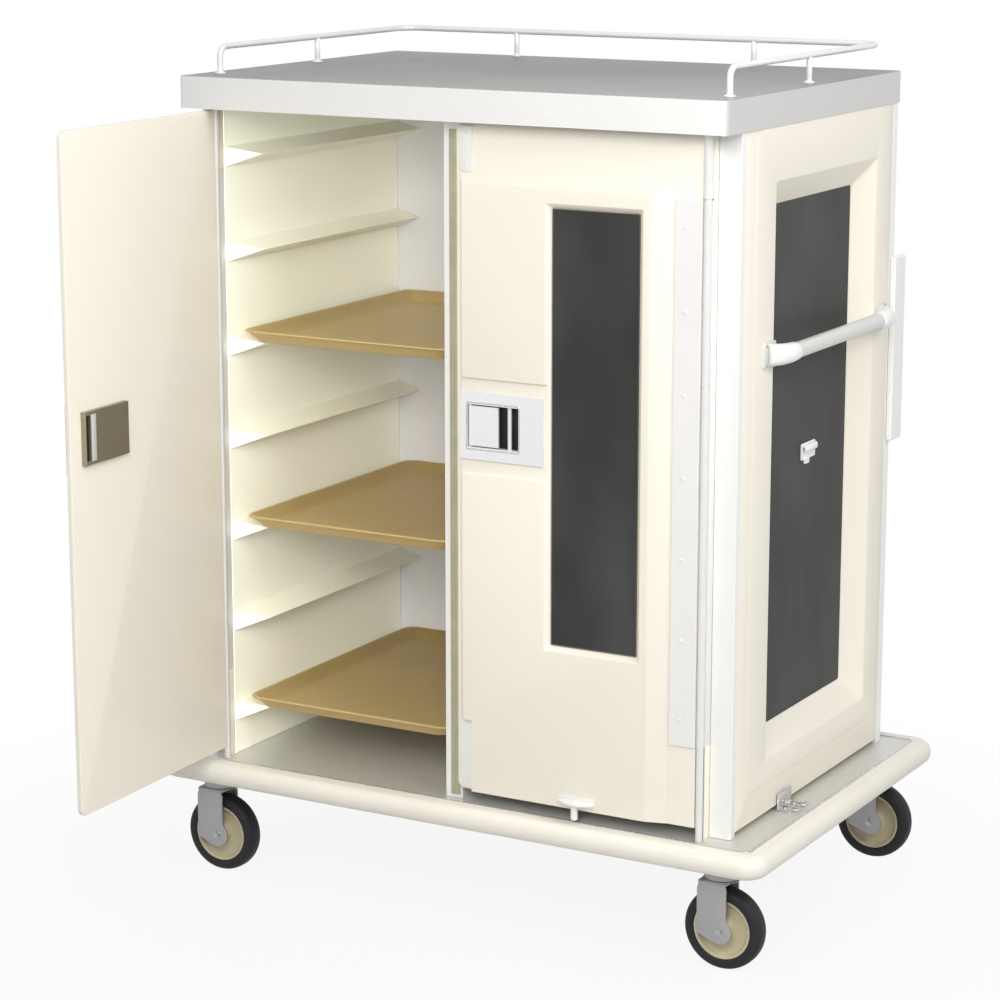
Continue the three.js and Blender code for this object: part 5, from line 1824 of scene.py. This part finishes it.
# ---- floor, light and camera ----
@dataclass
class Studio:
    """The pale floor, the soft light and the photograph's camera."""

    camera_place: Point = (2.2363, -3.9461, 1.6529)
    camera_yaw: float = 29.419
    camera_pitch: float = 12.496
    focal_pixels: float = 2978.8
    picture_pixels: float = 1000.0
    sensor: float = 36.0
    floor_half: float = 30.0
    floor_colour: Colour = (0.66, 0.66, 0.66)

    def build(self) -> None:
        """Builds the stage."""
        bpy.context.scene.view_settings.view_transform = "Standard"
        self._camera()
        self._floor()
        self._world()
        self._lamp("key_light", (0.9, -2.4, 2.3), (0.1, 0.0, 1.1), 1.2, 35.0)
        self._lamp("side_light", (2.5, -0.8, 2.4), (0.1, 0.0, 1.0), 1.3, 37.0)
        self._bay_light()

    def _camera(self) -> None:
        """Places the camera that the photograph was fitted with."""
        data = bpy.data.cameras.new("photo_camera")
        camera = bpy.data.objects.new("photo_camera", data)
        bpy.context.scene.collection.objects.link(camera)
        data.sensor_width = self.sensor
        data.lens = self.focal_pixels / self.picture_pixels * self.sensor
        data.clip_end = 200.0
        camera.location = self.camera_place
        camera.rotation_euler = (math.radians(90 - self.camera_pitch), 0.0, math.radians(self.camera_yaw))
        bpy.context.scene.camera = camera

    def _floor(self) -> None:
        """Makes the floor: pale paint near the cart, which fades to plain white for the camera."""
        half = self.floor_half
        mesh = bpy.data.meshes.new("floor")
        corners = [(-half, -half, 0), (half, -half, 0), (half, half, 0), (-half, half, 0)]
        mesh.from_pydata(corners, [], [(0, 1, 2, 3)])
        floor = bpy.data.objects.new("floor", mesh)
        bpy.context.scene.collection.objects.link(floor)
        made = bpy.data.materials.new("floor_paint")
        tree = ShaderTree(made)
        patch = tree.noise((3.0, 3.0, 3.0), 2.0)
        tint = tree.mix(patch, tuple(c * 0.995 for c in self.floor_colour), self.floor_colour)
        inputs = {"Base Color": tint, "Roughness": 0.9, "Specular IOR Level": 0.1}
        paint = tree.node("ShaderNodeBsdfPrincipled", {}, inputs)["BSDF"]
        glow = tree.node("ShaderNodeEmission", {}, {"Color": (1.0, 1.0, 1.0), "Strength": 1.0})["Emission"]
        flat = tree.node("ShaderNodeVectorMath", {"operation": "LENGTH"}, {0: tree.place()})["Value"]
        far = tree.ramp(flat * 0.25, (0.12, 0.9), (0.32, 1.0))
        mixed = tree.node("ShaderNodeMixShader", {}, {0: tree.seen() * far, 1: paint, 2: glow})["Shader"]
        tree.node("ShaderNodeOutputMaterial", {}, {"Surface": mixed})
        mesh.materials.append(made)

    def _world(self) -> None:
        """Makes the surroundings: white to the camera, and a soft studio that is greyer behind."""
        world = bpy.data.worlds.new("studio")
        bpy.context.scene.world = world
        tree = ShaderTree(world)
        direction = tree.node("ShaderNodeTexCoord")["Generated"]
        parts = tree.node("ShaderNodeSeparateXYZ", {}, {0: direction})
        behind = tree.ramp(parts["Y"] * 0.5 + 0.5, (0.3, 1.0), (0.95, 0.42))
        plain = tree.node("ShaderNodeBackground", {}, {"Color": behind, "Strength": 0.5})["Background"]
        bright = {"Color": (1.0, 1.0, 1.0), "Strength": 1.0}
        white = tree.node("ShaderNodeBackground", {}, bright)["Background"]
        mixed = tree.node("ShaderNodeMixShader", {}, {0: tree.seen(), 1: plain, 2: white})["Shader"]
        tree.node("ShaderNodeOutputWorld", {}, {"Surface": mixed})

    def _bay_light(self) -> None:
        """Hangs the fill light that reaches only the walls and floors of the open bay."""
        lamp = self._lamp("bay_light", (1.2, -3.2, 1.5), (-0.2, 0.1, 0.75), 1.4, 125.0)
        lit = bpy.data.collections.new("bay_walls")
        for name in ("liner_left", "liner_right", "divider", "back_liner", "base_deck"):
            lit.objects.link(frame["nodes"][name])
        lamp.light_linking.receiver_collection = lit

    @staticmethod
    def _lamp(name: str, place: Point, target: Point, size: float, power: float) -> bpy.types.Object:
        """Hangs a soft square lamp.

        Args:
            name: The lamp's name.
            place: Where it hangs.
            target: What it faces.
            size: Its side.
            power: Its power in watts.

        Returns:
            The lamp.
        """
        data = bpy.data.lights.new(name, "AREA")
        data.size = size
        data.energy = power
        lamp = bpy.data.objects.new(name, data)
        bpy.context.scene.collection.objects.link(lamp)
        lamp.location = place
        lamp.visible_camera = False
        lamp.rotation_mode = "QUATERNION"
        lamp.rotation_quaternion = (Vector(target) - Vector(place)).to_track_quat("-Z", "Y")
        return lamp


def build_all(parts: Iterable[object]) -> None:
    """Builds the sub-assemblies in order."""
    for part in parts:
        LOG.info("building %s", part)
        part.build()


def main() -> None:
    """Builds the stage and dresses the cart."""
    logging.basicConfig(level=logging.INFO, format="%(name)s: %(message)s")
    casters = [Caster(place) for place in ("front_left", "front_right", "rear_left", "rear_right")]
    doors = [Door(Side.LEFT, math.radians(-88)), Door(Side.RIGHT, 0.0)]
    trays = [MealTray(level) for level in (3, 5, 7)]
    fittings = [SideFittings(side) for side in Side]
    build_all([Studio(), Deck(), *casters, Cabinet(), TopRail(), *fittings, *doors, *trays])


if __name__ == "__main__":
    main()
